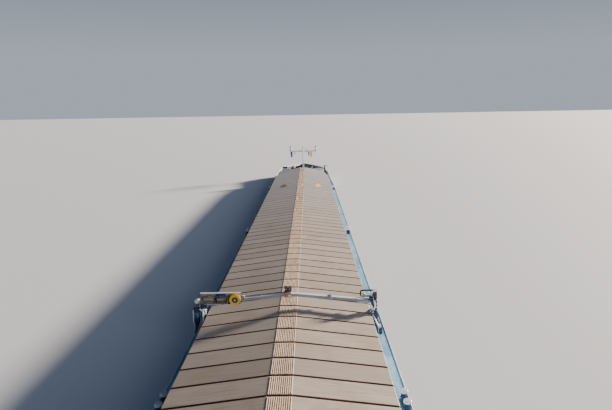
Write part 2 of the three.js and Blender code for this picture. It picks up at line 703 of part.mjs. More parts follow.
// Tower on the starboard end of the beam, with a tubular loop that reaches inboard over the covers.
function craneGuard() {
  const tube = 0.03 * m;
  const x = 0.22 * m;
  const tower = box(beamHalf + 0.03 * m + seat, 0.3 * m, -4.22 * m, -4.03 * m, 4.62 * m, 5.25 * m);
  const loop = [
    [-4.1, 4.92],
    [-3.54, 4.92],
    [-3.45, 5.0],
    [-3.45, 5.13],
    [-3.54, 5.21],
    [-4.1, 5.21],
  ].map(([y, z]) => [x, y * m, z * m]);
  const overlap = 0.012 * m; // the runs reach into each other at the corners
  const runs = loop.slice(1).map((to, i) => {
    const along = new THREE.Vector3(...to).sub(new THREE.Vector3(...loop[i])).setLength(overlap);
    const start = new THREE.Vector3(...loop[i]).sub(along);
    const end = new THREE.Vector3(...to).add(along);
    return bar(start.toArray(), end.toArray(), tube, 6);
  });
  return union([tower, ...runs]);
}

// Walls of the deckhouse, hollow, with its windows and its door opening cut.
const houseWall = 0.08 * m;
function deckhouse() {
  const lean = 0.12 * m;
  const section = (inset) => [
    [-houseHalf + inset, deck],
    [houseHalf - inset, deck],
    [houseHalf - lean - inset, houseTop],
    [-houseHalf + lean + inset, houseTop],
  ];
  const shell = prism("x", section(0), houseAft, houseFore);
  const spread = section(houseWall).map(([y, z]) => [y, z === deck ? z - seat : z + seat]);
  const room = prism("x", spread, houseAft + houseWall, houseFore - houseWall);
  const windows = [-42.6, -44.4, -46.2, -47.9].map((x) =>
    box((x - 0.4) * m, (x + 0.4) * m, -2 * houseHalf, 2 * houseHalf, 4.1 * m, 4.75 * m),
  );
  const aftWindow = box(houseAft - m, houseAft + m, 0.8 * m, 1.9 * m, 4.1 * m, 4.75 * m);
  const doorway = box(houseAft - m, houseAft + m, -1.14 * m, -0.46 * m, 3.16 * m, 4.97 * m);
  return [room, ...windows, aftWindow, doorway].reduce((left, cut) => left.subtract(cut), shell);
}

function deckhouseRoof() {
  const out = 0.14 * m;
  const half = houseHalf + out;
  const slab = box(houseAft - out, houseFore + 0.1 * m, -half, half, houseTop, houseTop + 0.1 * m);
  const pipes = [1, -1].map((side) => {
    const [x, y] = [-42.2 * m, side * 2.4 * m];
    return bar([x, y, houseTop + 0.05 * m], [x, y, 6.25 * m], 0.14 * m, 10);
  });
  const skylights = [-44.4, -46.6].map((x) =>
    box((x - 0.5) * m, (x + 0.5) * m, -0.5 * m, 0.5 * m, houseTop + 0.05 * m, houseTop + 0.32 * m),
  );
  const vents = [1, -1].map((side) => ventilator(-48.0 * m, side * 2.2 * m, houseTop + 0.09 * m));
  return union([slab, ...pipes, ...skylights, ...vents]);
}

// Panel door with a window. Local frame: hinge edge on the Z axis, the panel runs to -X and faces out to +Y.
function door(wide, tall, thick, pane) {
  const panel = box(-wide, 0, -thick, 0, 0, tall);
  const [low, high, margin] = pane;
  const glazed = panel.subtract(box(-wide + margin, -margin, -2 * thick, thick, low, high));
  return glazed.add(box(-wide + 0.05 * m, -wide + 0.09 * m, -0.01 * m, 0.05 * m, tall * 0.46, tall * 0.54));
}

function helmWalls() {
  const [length, half, tall] = [helmFore - helmAft, helmHalf, helmTop - helmFloor];
  const shell = box(-length / 2, length / 2, -half, half, 0, tall);
  const [roomLong, roomHalf] = [length / 2 - helmWall, half - helmWall];
  const inside = box(-roomLong, roomLong, -roomHalf, roomHalf, -m, tall + m);
  const [sill, head] = [0.85 * m, 1.98 * m];
  const bay = (2 * half - 0.2 * m) / 3;
  const ends = [-1, 0, 1].map((k) =>
    box(-length, length, k * bay - bay / 2 + 0.06 * m, k * bay + bay / 2 - 0.06 * m, sill, head),
  );
  const sideWindow = box(0.3 * m, length / 2 - 0.2 * m, -2 * half, 2 * half, sill, head);
  const doorway = box(-0.698 * m, 0.118 * m, -2 * half, 2 * half, 0.042 * m, 1.998 * m);
  const aftWindow = box(-length / 2 + 0.18 * m, -0.84 * m, -2 * half, 2 * half, sill, head);
  return [inside, ...ends, sideWindow, doorway, aftWindow].reduce((left, cut) => left.subtract(cut), shell);
}

function helmRoof() {
  const out = 0.25 * m;
  const half = helmHalf + out;
  const crown = [[half, 0.07 * m], [0.8 * half, 0.15 * m]];
  const outline = [[-half, 0], [half, 0], ...crown, ...mirrored(crown)];
  const slab = prism("x", outline, (helmAft - helmFore) / 2 - out, (helmFore - helmAft) / 2 + out);
  const post = bar([-0.2 * m, 0, 0.14 * m], [-0.2 * m, 0, 0.85 * m], 0.07 * m, 10);
  const arm = bar([-0.2 * m, -0.6 * m, 0.55 * m], [-0.2 * m, 0.6 * m, 0.55 * m], 0.03 * m, 8);
  const lamp = bar([1.3 * m, 0.9 * m, 0.08 * m], [1.3 * m, 0.9 * m, 0.34 * m], 0.12 * m, 12);
  const whips = [1, -1].map((side) =>
    bar([-1.3 * m, side * 1.2 * m, 0.08 * m], [-1.3 * m, side * 1.2 * m, 1.1 * m], 0.02 * m, 6),
  );
  return union([slab, post, arm, lamp, ...whips]);
}

function radarScanner() {
  const arm = box(-0.09 * m, 0.09 * m, -0.75 * m, 0.75 * m, 0.12 * m, 0.26 * m);
  const hub = bar([0, 0, 0], [0, 0, 0.16 * m], 0.1 * m, 10);
  return arm.add(hub);
}

// Wheelhouse floor with its side platforms, and the square column that lifts it.
function helmColumn() {
  const length = helmFore - helmAft;
  const slab = box(-length / 2, length / 2, -2.7 * m, 2.7 * m, -0.08 * m, 0);
  const column = box(-columnHalf, columnHalf, -columnHalf, columnHalf, 0.78 * m - helmFloor, -0.06 * m);
  return slab.add(column);
}

function columnGuide() {
  const outer = 0.78 * m;
  const block = box(-outer, outer, -outer, outer, 0, guideTall);
  return block.subtract(box(-guideHalf, guideHalf, -guideHalf, guideHalf, -m, 2 * m));
}

function helmConsole() {
  const desk = [[0.55, 0], [1.25, 0], [1.25, 0.8], [1.1, 0.92], [0.55, 0.72]];
  return prism("y", desk.map(([x, z]) => [x * m, z * m + seat]), -0.9 * m, 0.9 * m);
}

function helmChair() {
  const base = bar([-0.25 * m, 0, seat], [-0.25 * m, 0, 0.06 * m], 0.24 * m, 12);
  const post = bar([-0.25 * m, 0, 0.05 * m], [-0.25 * m, 0, 0.48 * m], 0.06 * m, 10);
  const cushion = box(-0.5 * m, 0.02 * m, -0.26 * m, 0.26 * m, 0.46 * m, 0.58 * m);
  const back = box(-0.54 * m, -0.44 * m, -0.26 * m, 0.26 * m, 0.56 * m, 1.2 * m);
  return union([base, post, cushion, back]);
}

function sternWinch() {
  const [x, z] = [-50.6 * m, deck + seat];
  const plate = box(x - 0.4 * m, x + 0.4 * m, -0.7 * m, 0.7 * m, z, z + 0.06 * m);
  const cheeks = [-0.55, 0.55].map((y) =>
    box(x - 0.25 * m, x + 0.25 * m, (y - 0.03) * m, (y + 0.03) * m, z, z + 0.5 * m),
  );
  const drum = bar([x, -0.5 * m, z + 0.4 * m], [x, 0.5 * m, z + 0.4 * m], 0.2 * m, 14);
  const flanges = [-0.45, 0.45].map((y) =>
    bar([x, (y - 0.03) * m, z + 0.4 * m], [x, (y + 0.03) * m, z + 0.4 * m], 0.32 * m, 16),
  );
  const shaft = bar([x, -0.8 * m, z + 0.4 * m], [x, 0.75 * m, z + 0.4 * m], 0.06 * m, 10);
  return union([plate, drum, shaft, ...cheeks, ...flanges]);
}

function flagstaff() {
  const foot = bar([-51.9 * m, 0, deck + seat], [-51.9 * m, 0, deck + 0.08 * m], 0.12 * m, 10);
  const staff = bar([-51.9 * m, 0, deck + 0.05 * m], [-52.1 * m, 0, 6.0 * m], 0.03 * m, 8);
  return foot.add(staff);
}

// Five-bladed propeller. Local frame: on its shaft, which lies along X.
function propeller() {
  const hub = bar([0.397 * m, 0, 0], [-0.36 * m, 0, 0], 0.18 * m, 15, 0.11 * m);
  const [bladeCount, twist] = [5, 0.75];
  const outline = [
    [-0.1, 0.1],
    [0.1, 0.1],
    [0.24, 0.42],
    [0.22, 0.66],
    [0.06, 0.8],
    [-0.1, 0.78],
    [-0.22, 0.6],
    [-0.22, 0.36],
  ];
  const blade = prism("y", outline.map(([x, z]) => [x * m, z * m]), -0.02 * m, 0.02 * m);
  const turns = Array.from({ length: bladeCount }, (_, k) => {
    const geometry = geometryOf(blade);
    return solid(geometry.rotateZ(twist).rotateX((k * 2 * Math.PI) / bladeCount));
  });
  const roundOff = bar([0.5 * m, 0, 0], [-0.5 * m, 0, 0], propRadius, 30);
  return union([hub, ...turns]).intersect(roundOff);
}

function nozzle() {
  const [inner, outer, half] = [0.86, 0.955, 0.45].map((v) => v * m);
  const profile = [
    [inner, -half],
    [outer * 0.94, -half],
    [outer, 0.1 * m],
    [outer, half - 0.1 * m],
    [outer * 0.97, half],
    [inner, half - 0.1 * m],
    [inner, -half],
  ];
  const turned = profile.map(([r, y]) => new THREE.Vector2(r, y));
  const ring = new THREE.LatheGeometry(turned, 28).rotateZ(-Math.PI / 2);
  const head = box(-0.3 * m, 0.25 * m, -0.25 * m, 0.25 * m, 0.88 * m, 0.99 * m);
  return solid(ring).add(head);
}

// Balanced rudder. Local frame: on its stock, which lies along Z from the base line.
function rudder() {
  const side = [[0.3, -0.07], [0, -0.09], [-0.5, -0.05], [-0.95, -0.015]];
  const outline = [[0.45, 0], ...side.map(([x, y]) => [x, -y]), ...[...side].reverse()];
  const blade = prism("z", outline.map(([x, y]) => [x * m, y * m]), 0.25 * m, 1.88 * m);
  const stock = bar([0, 0, 1.8 * m], [0, 0, 2.048 * m], 0.07 * m, 12);
  const plates = [0.22, 1.86].map((z) => box(-0.97 * m, 0.4 * m, -0.11 * m, 0.11 * m, z * m, (z + 0.04) * m));
  return union([blade, stock, ...plates]);
}

function engine() {
  return box(-1.25 * m, 1.25 * m, -0.55 * m, 0.55 * m, 0, 1.5 * m);
}

function sternAnchor() {
  const shank = box(transom - 0.12 * m, transom - seat, -0.06 * m, 0.06 * m, 2.5 * m, 3.05 * m);
  const crown = box(transom - 0.2 * m, transom - seat, -0.4 * m, 0.4 * m, 2.42 * m, 2.56 * m);
  const flukes = [1, -1].map((side) => {
    const outline = [[0.14, 2.5], [0.42, 2.45], [0.44, 2.7], [0.34, 3.0], [0.24, 2.75]];
    const placed = outline.map(([y, z]) => [side * y * m, z * m]);
    return prism("x", placed, transom - 0.12 * m, transom - 0.02 * m);
  });
  return union([shank, crown, ...flukes]);
}

const barge = new THREE.Group();

// Names a solid, gives it its finish and hangs it in a group, at a place in that group's frame.
function add(name, made, finish, parent = barge, place = [0, 0, 0], turnZ = 0) {
  const mesh = new THREE.Mesh(geometryOf(made), new THREE.MeshStandardMaterial(finishes[finish]));
  mesh.name = name;
  mesh.position.set(...place);
  mesh.rotation.z = turnZ;
  parent.add(mesh);
  return mesh;
}

function addGroup(x, y, z) {
  const group = new THREE.Group();
  group.position.set(x, y, z);
  barge.add(group);
  return group;
}

add("hull_bow", hullBow(), "hullPaint");
add("hull_stern", hullStern(), "hullPaint");
add("hold_floor", holdFloor(), "hullPaint");
for (const [name, side] of [["port", 1], ["starboard", -1]]) {
  add("wing_tank_" + name, wingTank(side), "hullPaint");
  add("coaming_" + name, coaming(side, holdAft, taperFrom), "deckBlue");
  add("gunwale_" + name, gunwale(side), "whitePaint");
}
add("coaming_fore", foreWalls(), "whitePaint");
add("coaming_aft", aftWall(), "deckBlue");
for (let k = 0; k < coverGroups; k++) {
  add("hatch_covers_" + (k + 1), coverGroup(k), "coverAluminium");
}

add("bow_bulwark_port", bowBulwark(1), "whitePaint");
add("bow_bulwark_starboard", bowBulwark(-1), "whitePaint");
add("windlass", windlass(), "greyPaint");
add("fore_hatch", foreHatch(), "whitePaint");
add("fore_hatch_lid", foreHatchLid(), "whitePaint");
add("mast_base", mastBase(), "whitePaint");
add("mast", mast(), "whitePaint");
const anchorPlace = [46.35 * m, 3.668 * m, 2.82 * m];
const acrossFrom = ([x, y, z]) => [x, -y, z];
const anchorTurn = 0.29;
add("anchor_port", anchor(), "blackSteel", barge, anchorPlace, -anchorTurn);
add("anchor_starboard", anchor(), "blackSteel", barge, acrossFrom(anchorPlace), Math.PI + anchorTurn);

const crane = addGroup(craneX, 0, 0);
const portLeg = craneLeg(true);
const starboardLeg = craneLeg(false).mirror([0, 1, 0]);
add("crane_leg_port", portLeg, "whitePaint", crane);
add("crane_leg_starboard", starboardLeg, "whitePaint", crane);
for (const [name, side] of [["port", 1], ["starboard", -1]]) {
  for (const [end, along] of Object.entries(wheelPlaces)) {
    const place = [along, side * craneRailY, axleHigh];
    add("crane_wheel_" + name + "_" + end, craneWheel(), "blackSteel", crane, place);
  }
}
add("crane_beam", craneBeam(), "greyPaint", crane);
add("crane_control_box", controlBox(), "blackSteel", crane);
add("crane_power_pack", powerPack(), "greyPaint", crane);
add("crane_reel", reel(), "yellowPaint", crane, reelPlace);
add("crane_guard", craneGuard(), "blackSteel", crane);

add("deckhouse", deckhouse(), "whitePaint");
add("deckhouse_roof", deckhouseRoof(), "greyPaint");
const houseDoor = door(0.8 * m, 1.85 * m, 0.05 * m, [1.0 * m, 1.65 * m, 0.16 * m]);
const houseHinge = [houseAft - 0.055 * m, -0.4 * m, deck + 0.08 * m];
add("deckhouse_door", houseDoor, "deckBlue", barge, houseHinge, Math.PI / 2);

const helm = addGroup((helmFore + helmAft) / 2, 0, helmFloor);
add("wheelhouse_walls", helmWalls(), "whitePaint", helm);
add("wheelhouse_roof", helmRoof(), "whitePaint", helm, [0, 0, helmTop - helmFloor]);
add("wheelhouse_column", helmColumn(), "greyPaint", helm);
add("wheelhouse_console", helmConsole(), "greyPaint", helm);
add("wheelhouse_chair", helmChair(), "blackSteel", helm);
add("radar_scanner", radarScanner(), "whitePaint", helm, [-0.2 * m, 0, helmTop - helmFloor + 0.853 * m]);
const helmDoor = door(0.8 * m, 1.94 * m, 0.05 * m, [0.9 * m, 1.8 * m, 0.1 * m]);
const helmHinge = [0.11 * m, helmHalf, 0.05 * m];
add("wheelhouse_door_port", helmDoor, "whitePaint", helm, helmHinge);
add("wheelhouse_door_starboard", helmDoor.mirror([0, 1, 0]), "whitePaint", helm, acrossFrom(helmHinge));
add("column_guide", columnGuide(), "greyPaint", barge, [columnX, 0, deck]);

add("stern_bulwark", sternBulwark(), "whitePaint");
add("stern_winch", sternWinch(), "greyPaint");
add("stern_anchor", sternAnchor(), "blackSteel");
add("flagstaff", flagstaff(), "whitePaint");
add("engine", engine(), "greyPaint", barge, [-42.85 * m, 0, 1.0 * m]);
add("propeller", propeller(), "bronze", barge, [propX, 0, shaftZ]);
add("nozzle", nozzle(), "hullPaint", barge, [propX, 0, shaftZ]);
add("rudder_port", rudder(), "hullPaint", barge, [rudderX, rudderY, 0]);
add("rudder_starboard", rudder(), "hullPaint", barge, [rudderX, -rudderY, 0]);

export default barge;
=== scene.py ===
# River cargo barge, 105 m by 9.5 m, at one tenth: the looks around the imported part.
# +X is forward, +Y is port, +Z is up. Sizes and places are those of the real vessel, in metres.
from math import atan2, copysign, cos, exp, hypot, pi, radians, sin

import bmesh
import bpy
from mathutils import Matrix, Vector
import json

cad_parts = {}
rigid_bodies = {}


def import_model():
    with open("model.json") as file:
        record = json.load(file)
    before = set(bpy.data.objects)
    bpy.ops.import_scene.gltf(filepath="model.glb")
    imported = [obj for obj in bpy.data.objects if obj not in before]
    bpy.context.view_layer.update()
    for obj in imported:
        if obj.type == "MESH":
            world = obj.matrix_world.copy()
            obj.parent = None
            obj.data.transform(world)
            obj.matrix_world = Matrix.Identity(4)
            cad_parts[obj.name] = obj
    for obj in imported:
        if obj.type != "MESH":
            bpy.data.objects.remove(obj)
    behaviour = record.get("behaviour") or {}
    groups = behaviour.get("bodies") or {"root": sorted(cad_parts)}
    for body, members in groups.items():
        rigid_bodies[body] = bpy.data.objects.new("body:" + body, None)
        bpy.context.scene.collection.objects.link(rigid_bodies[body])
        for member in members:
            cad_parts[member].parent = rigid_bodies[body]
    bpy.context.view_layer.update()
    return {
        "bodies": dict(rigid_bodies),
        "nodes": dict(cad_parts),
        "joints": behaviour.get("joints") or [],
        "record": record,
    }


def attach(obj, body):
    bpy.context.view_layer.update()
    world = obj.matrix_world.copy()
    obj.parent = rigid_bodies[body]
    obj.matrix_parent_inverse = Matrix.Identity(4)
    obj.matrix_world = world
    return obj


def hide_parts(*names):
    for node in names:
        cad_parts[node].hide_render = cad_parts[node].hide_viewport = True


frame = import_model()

SCALE = 0.1  # one metre of the real vessel, in metres of the model
MM = 0.001 * SCALE  # one millimetre of the real vessel, which the materials count in
SIDES = (("port", 1), ("starboard", -1))
UP, ABEAM, AHEAD, ASTERN = (0, 0, 1), (0, 1, 0), (1, 0, 0), (-1, 0, 0)  # ways of an axis

# Driving sizes, which are those of the part's source.
WATERLINE = 2.15
DECK = 3.1
HALF_BEAM = 4.69
RAIL_OUT = 0.06
RAIL_LOW = 0.42
RAIL_TALL = 0.27
COVER_COUNT = 56
PER_GROUP = 8
MARKED_GROUP, MARKED_JOINT = 5, 41  # where the yellow diamonds are
STRAIGHT_COVERS = 50  # the others narrow with the bow
PITCH = 1.368
HOLD_FORE = 39.15
HOLD_AFT = HOLD_FORE - COVER_COUNT * PITCH
TAPER_FROM = HOLD_AFT + STRAIGHT_COVERS * PITCH
EAVE = 4.25
RIDGE = 4.7
EAVE_HALF = 3.9
WALK_HALF = 0.415
FORE_HALF = 3.2
RISE = 0.05
COVER_PLATE = 0.12
JOINT_GAP = 0.12
COAMING_IN = 0.35
COAMING_THICK = 0.12
SLOPE = (RIDGE - EAVE) / (EAVE_HALF - WALK_HALF)
CRANE_X = -24.8
CRANE_RAIL_Y = 4.12
MAST_X = 50.2


def cover_half(x):
    """Half the width of the covers, which narrow with the bow."""
    share = max(0.0, x - TAPER_FROM) / (HOLD_FORE - TAPER_FROM)
    return EAVE_HALF + (FORE_HALF - EAVE_HALF) * share


# Camera, above the wheelhouse. It was fitted to the joint lines and eaves of the covers in the photograph.
EYE = (-49.5, -1.07, 13.72)
LENS, SENSOR = 31.76, 36  # millimetres
FAR = 500  # metres of the model
DOWN, YAW, ROLL = (radians(a) for a in (9.79, 0.40, -0.97))
forward = Vector((cos(DOWN) * cos(YAW), cos(DOWN) * sin(YAW), -sin(DOWN)))
level = Vector((sin(YAW), -cos(YAW), 0.0))
upward = level.cross(forward)
right = level * cos(ROLL) + upward * sin(ROLL)
top = upward * cos(ROLL) - level * sin(ROLL)
bpy.ops.object.camera_add(location=[a * SCALE for a in EYE])
camera = bpy.context.object
camera.rotation_euler = Matrix((right, top, -forward)).transposed().to_euler()
camera.data.sensor_width = SENSOR
camera.data.lens = LENS
camera.data.clip_end = FAR
bpy.context.scene.camera = camera


# What the materials are made with

def linear(code):
    """The linear colour of an sRGB hex value."""
    parts = [int(code[i : i + 2], 16) / 255 for i in (1, 3, 5)]
    return [p / 12.92 if p <= 0.04045 else ((p + 0.055) / 1.055) ** 2.4 for p in parts] + [1.0]


def finish(name, code, rough, metal=0.0, **sockets):
    """A new material, with the numbers that are the same all over set on its shader."""
    made = bpy.data.materials.new(name)
    made.use_nodes = True
    made.diffuse_color = linear(code)
    shader = made.node_tree.nodes["Principled BSDF"].inputs
    shader["Base Color"].default_value = linear(code)
    shader["Roughness"].default_value = rough
    shader["Metallic"].default_value = metal
    for socket, value in sockets.items():
        shader[socket.replace("_", " ")].default_value = value
    return made


def node(made, kind, inputs, output=0, **settings):
    """Adds a node with its settings. Each input is a value, or the socket that is linked to it."""
    new = made.node_tree.nodes.new("ShaderNode" + kind)
    for name, value in settings.items():
        setattr(new, name, value)
    for name, value in inputs.items():
        if isinstance(value, bpy.types.NodeSocket):
            made.node_tree.links.new(value, new.inputs[name])
        else:
            new.inputs[name].default_value = value
    return new.outputs[output]


def patches(made, size, low, high, stretch=(1, 1, 1), detail=4.0):
    """Soft-edged patches of that many millimetres, 0 between them and 1 in them. A stretch draws them out."""
    place = node(made, "TexCoord", {}, "Object")
    drawn = node(made, "Mapping", {"Vector": place, "Scale": stretch})
    grain = node(made, "TexNoise", {"Vector": drawn, "Scale": 1 / (size * MM), "Detail": detail}, "Fac")
    return node(made, "MapRange", {"Value": grain, "From Min": low, "From Max": high})


def spaced(long):
    """The scale of a wave texture whose bands are that many metres of the model apart."""
    return 2 * pi / 20 / long


def stained(made, under, code, share):
    """Lays a colour over another, in patches of those numbers, or as far as a share that a socket gives."""
    share = patches(made, *share) if isinstance(share, tuple) else share
    below = linear(under) if isinstance(under, str) else under
    return node(made, "Mix", {0: share, 6: below, 7: linear(code)}, 2, data_type="RGBA")


def dressed(made, color=None, rough=None, height=None, deep=1.0):
    """Links a colour, a roughness and a relief of that many millimetres to the shader."""
    shader = made.node_tree.nodes["Principled BSDF"].inputs
    if height is not None:
        height = node(made, "Bump", {"Height": height, "Distance": deep * MM})
    for socket, output in (("Base Color", color), ("Roughness", rough), ("Normal", height)):
        if output is not None:
            made.node_tree.links.new(output, shader[socket])
    return made


def enamel(name, code, chalk, rusty=0.66, rough=0.38):
    """Alkyd enamel rolled on steel: a soft gloss, chalky where it weathered, with rust that runs down."""
    made = finish(name, code, rough, IOR=1.5, Specular_IOR_Level=0.45)
    rust = "#7d4a2e"
    weathered = stained(made, code, chalk, (900, 0.35, 0.8))
    runs = patches(made, 260, rusty, rusty + 0.14, (1, 1, 0.18), 6.0)
    spots = patches(made, 90, rusty + 0.04, rusty + 0.1, (1, 1, 1), 5.0)
    rusted = stained(made, stained(made, weathered, rust, runs), rust, spots)
    worn = node(made, "MapRange", {"Value": runs, "To Min": rough, "To Max": 0.8})
    return dressed(made, rusted, worn, patches(made, 30, 0.2, 0.8), 3)


def mottled(name, code, rough, metal, tones, blotches, grain, deep):
    """A material of two tones, the second in blotches over the first, with a relief in millimetres."""
    made = finish(name, code, rough, metal)
    return dressed(made, stained(made, *tones, blotches), None, patches(made, *grain), deep)


# Materials

def cover_sheet():
    """Mill-finish aluminium sheet, rolled and long weathered: dull and beige, streaked across the vessel,
    with a painted sky reflection that grows paler and bluer towards the bow.
    """
    made = finish("weathered_aluminium_sheet_painted_reflection", "#bfb0a1", 0.5, 0.25)
    along = node(made, "SeparateXYZ", {"Vector": node(made, "TexCoord", {}, "Object")}, "X")
    count = node(made, "MapRange",
                 {"Value": along, "From Min": HOLD_AFT * SCALE, "From Max": HOLD_FORE * SCALE,
                  "To Max": float(COVER_COUNT)})
    number = node(made, "Math", {0: count}, operation="FLOOR")
    shade = node(made, "TexWhiteNoise", {"W": number}, "Value", noise_dimensions="1D")
    each = stained(made, "#b5a799", "#cabbab", shade)
    streaks = patches(made, 60, 0.42, 0.8, (1, 0.05, 0.05))
    streaked = stained(made, each, "#a2958a", streaks)
    soiled = stained(made, streaked, "#ab9783", (1400, 0.52, 0.85, (0.6, 1, 1), 5.0))
    # Painted sky reflection: a paler, bluer grey laid on more and more towards the bow.
    sky_reflection_share = node(made, "MapRange",
                  {"Value": along, "From Min": -12 * SCALE, "From Max": 32 * SCALE, "To Max": 0.75})
    with_painted_sky_reflection = stained(made, soiled, "#c0c2c7", sky_reflection_share)
    sheen = node(made, "MapRange", {"Value": patches(made, 300, 0, 1), "To Min": 0.4, "To Max": 0.56})
    return dressed(made, with_painted_sky_reflection, sheen, patches(made, 45, 0.2, 0.8, (1, 0.05, 0.05)), 2)


def hull_enamel():
    """Dark blue enamel on steel plating, black bitumen below the load line: frames show as dents."""
    made = finish("dark_blue_hull_enamel", "#1d2f55", 0.36, IOR=1.5)
    place = node(made, "TexCoord", {}, "Object")
    high = node(made, "SeparateXYZ", {"Vector": place}, "Z")
    chalked = stained(made, "#1b2c50", "#34486d", (1600, 0.4, 0.8, (0.5, 1, 1)))
    runs = patches(made, 320, 0.62, 0.8, (1, 1, 0.12), 6.0)
    rusted = stained(made, chalked, "#6b402c", runs)
    edge = {"From Min": (WATERLINE + 0.2) * SCALE, "From Max": (WATERLINE + 0.17) * SCALE}
    below = node(made, "MapRange", {"Value": high, **edge})
    tarred = stained(made, rusted, "#16171a", below)
    scum = {"From Min": (WATERLINE - 0.1) * SCALE, "From Max": (WATERLINE - 0.5) * SCALE}
    slimy = node(made, "MapRange", {"Value": high, **scum, "To Max": 0.55})
    weed = node(made, "Math", {0: slimy, 1: patches(made, 500, 0.3, 0.7)}, operation="MULTIPLY")
    frames = node(made, "TexWave", {"Vector": place, "Scale": spaced(0.6 * SCALE)}, "Fac")
    buckled = node(made, "Math", {0: frames, 1: patches(made, 2500, 0.3, 0.8)}, operation="MULTIPLY")
    return dressed(made, stained(made, tarred, "#3b3f2c", weed), None, buckled, 12)


def deck_paint():
    """Light blue deck paint with sand in it, rolled: matt and gritty, grey where worn, rust in its pits."""
    made = finish("light_blue_grip_paint", "#a8cbdb", 0.7, IOR=1.5)
    trodden = stained(made, "#78b2d0", "#7298ac", (800, 0.4, 0.75, (0.4, 1, 1), 5.0))
    bleached = stained(made, trodden, "#b9d9ea", (700, 0.54, 0.76, (0.35, 1, 1), 5.0))
    dirty = stained(made, bleached, "#6f7f83", (320, 0.6, 0.8, (0.3, 1, 1), 5.0))
    rusted = stained(made, dirty, "#8a5638", (130, 0.68, 0.74, (1, 1, 1), 6.0))
    return dressed(made, rusted, None, patches(made, 12, 0.3, 0.7), 2.5)


def hot_dip_zinc():
    """Hot-dip galvanised steel: dull grey with the crystals of the zinc, a little bright on each."""
    made = finish("hot_dip_galvanised_steel", "#9ba1a5", 0.5, 0.85)
    place = node(made, "TexCoord", {}, "Object")
    crystals = node(made, "TexVoronoi", {"Vector": place, "Scale": 1 / (45 * MM)}, "Color")
    tone = node(made, "SeparateXYZ", {"Vector": crystals}, "X")
    spangled = stained(made, "#8b9196", "#aeb4b8", tone)
    aged = stained(made, spangled, "#85837d", (300, 0.5, 0.8))
    sheen = node(made, "MapRange", {"Value": tone, "To Min": 0.4, "To Max": 0.6})
    return dressed(made, aged, sheen, patches(made, 60, 0.2, 0.8), 1)


def window_glass():
    """Toughened float glass, faintly green: it shows the inside and a clear reflection."""
    made = finish("toughened_float_glass", "#c9dcd6", 0.03, IOR=1.52, Transmission_Weight=0.92, Alpha=1.0)
    film = node(made, "MapRange", {"Value": patches(made, 600, 0.3, 0.8), "To Min": 0.02, "To Max": 0.09})
    return dressed(made, None, film)


def lantern_lens(name, code):
    """Acrylic lantern lens, moulded with ridges: clear colour and sharp gloss, hazed by the sun."""
    made = finish(name, code, 0.15, IOR=1.49, Transmission_Weight=0.45)
    haze = node(made, "MapRange", {"Value": patches(made, 120, 0.3, 0.8), "To Min": 0.1, "To Max": 0.35})
    place = node(made, "TexCoord", {}, "Object")
    rings = {"Vector": place, "Scale": spaced(25 * MM)}
    return dressed(made, None, haze, node(made, "TexWave", rings, "Fac", bands_direction="Z"), 4)


def seat_vinyl():
    """PVC upholstery cloth, embossed with a leather grain: dark blue, soft gloss on its folds."""
    made = finish("navy_embossed_vinyl", "#22304a", 0.45, IOR=1.5, Sheen_Weight=0.1)
    place = node(made, "TexCoord", {}, "Object")
    grain = node(made, "TexVoronoi", {"Vector": place, "Scale": 1 / (8 * MM)}, "Distance")
    return dressed(made, stained(made, "#22304a", "#36435c", (150, 0.4, 0.8)), None, grain, 0.6)


def flag_cloth(name, code, faded):
    """Knitted polyester bunting, dyed: matt, and faded in patches."""
    made = finish(name, code, 0.85, Sheen_Weight=0.2)
    place = node(made, "TexCoord", {}, "Object")
    weft = {"Vector": place, "Scale": spaced(12 * MM)}
    knit = node(made, "TexWave", weft, "Fac", bands_direction="Z")
    return dressed(made, stained(made, code, faded, (500, 0.3, 0.8)), None, knit, 2)


COVER = cover_sheet()
# Extruded aluminium planking with sand in its grooves: tan, and paler on the ribs that feet rub.
WALKWAY = mottled("sandy_ribbed_aluminium", "#bda68f", 0.65, 0.1, ("#d6bfa6", "#bfa489"),
                  (350, 0.35, 0.75, (0.4, 1, 1), 5.0), (20, 0.2, 0.8), 2)
# EPDM joint rubber, extruded, gone brown with rusty water: matt, almost black in the gaps. It is also laid on
# the aft-facing edges of the cover fields as painted shade.
SEAL_AND_PAINTED_SHADE = mottled("epdm_joint_rubber_and_painted_shade", "#3a2621", 0.85, 0.0, ("#2b201d", "#5e382b"), (250, 0.3, 0.7),
               (15, 0.2, 0.8), 1)
HULL = hull_enamel()
DECK_BLUE = deck_paint()
ZINC = hot_dip_zinc()
# Bare hot-rolled steel left in the weather: brown, flaky and matt, with darker scale.
RUST = mottled("rusted_bare_steel", "#6e4632", 0.85, 0.1, ("#7b4c34", "#3d2b25"),
               (180, 0.4, 0.7, (1, 1, 1), 6.0), (25, 0.2, 0.8, (1, 1, 1), 6.0), 3)
# Nickel aluminium bronze, cast and ground: yellow-brown, gone dull green in its hollows.
BRONZE = mottled("cast_nickel_bronze", "#b08a45", 0.34, 1.0, ("#b28b45", "#5f6b4c"), (240, 0.5, 0.8),
                 (14, 0.2, 0.8, (1, 0.2, 1)), 0.8)
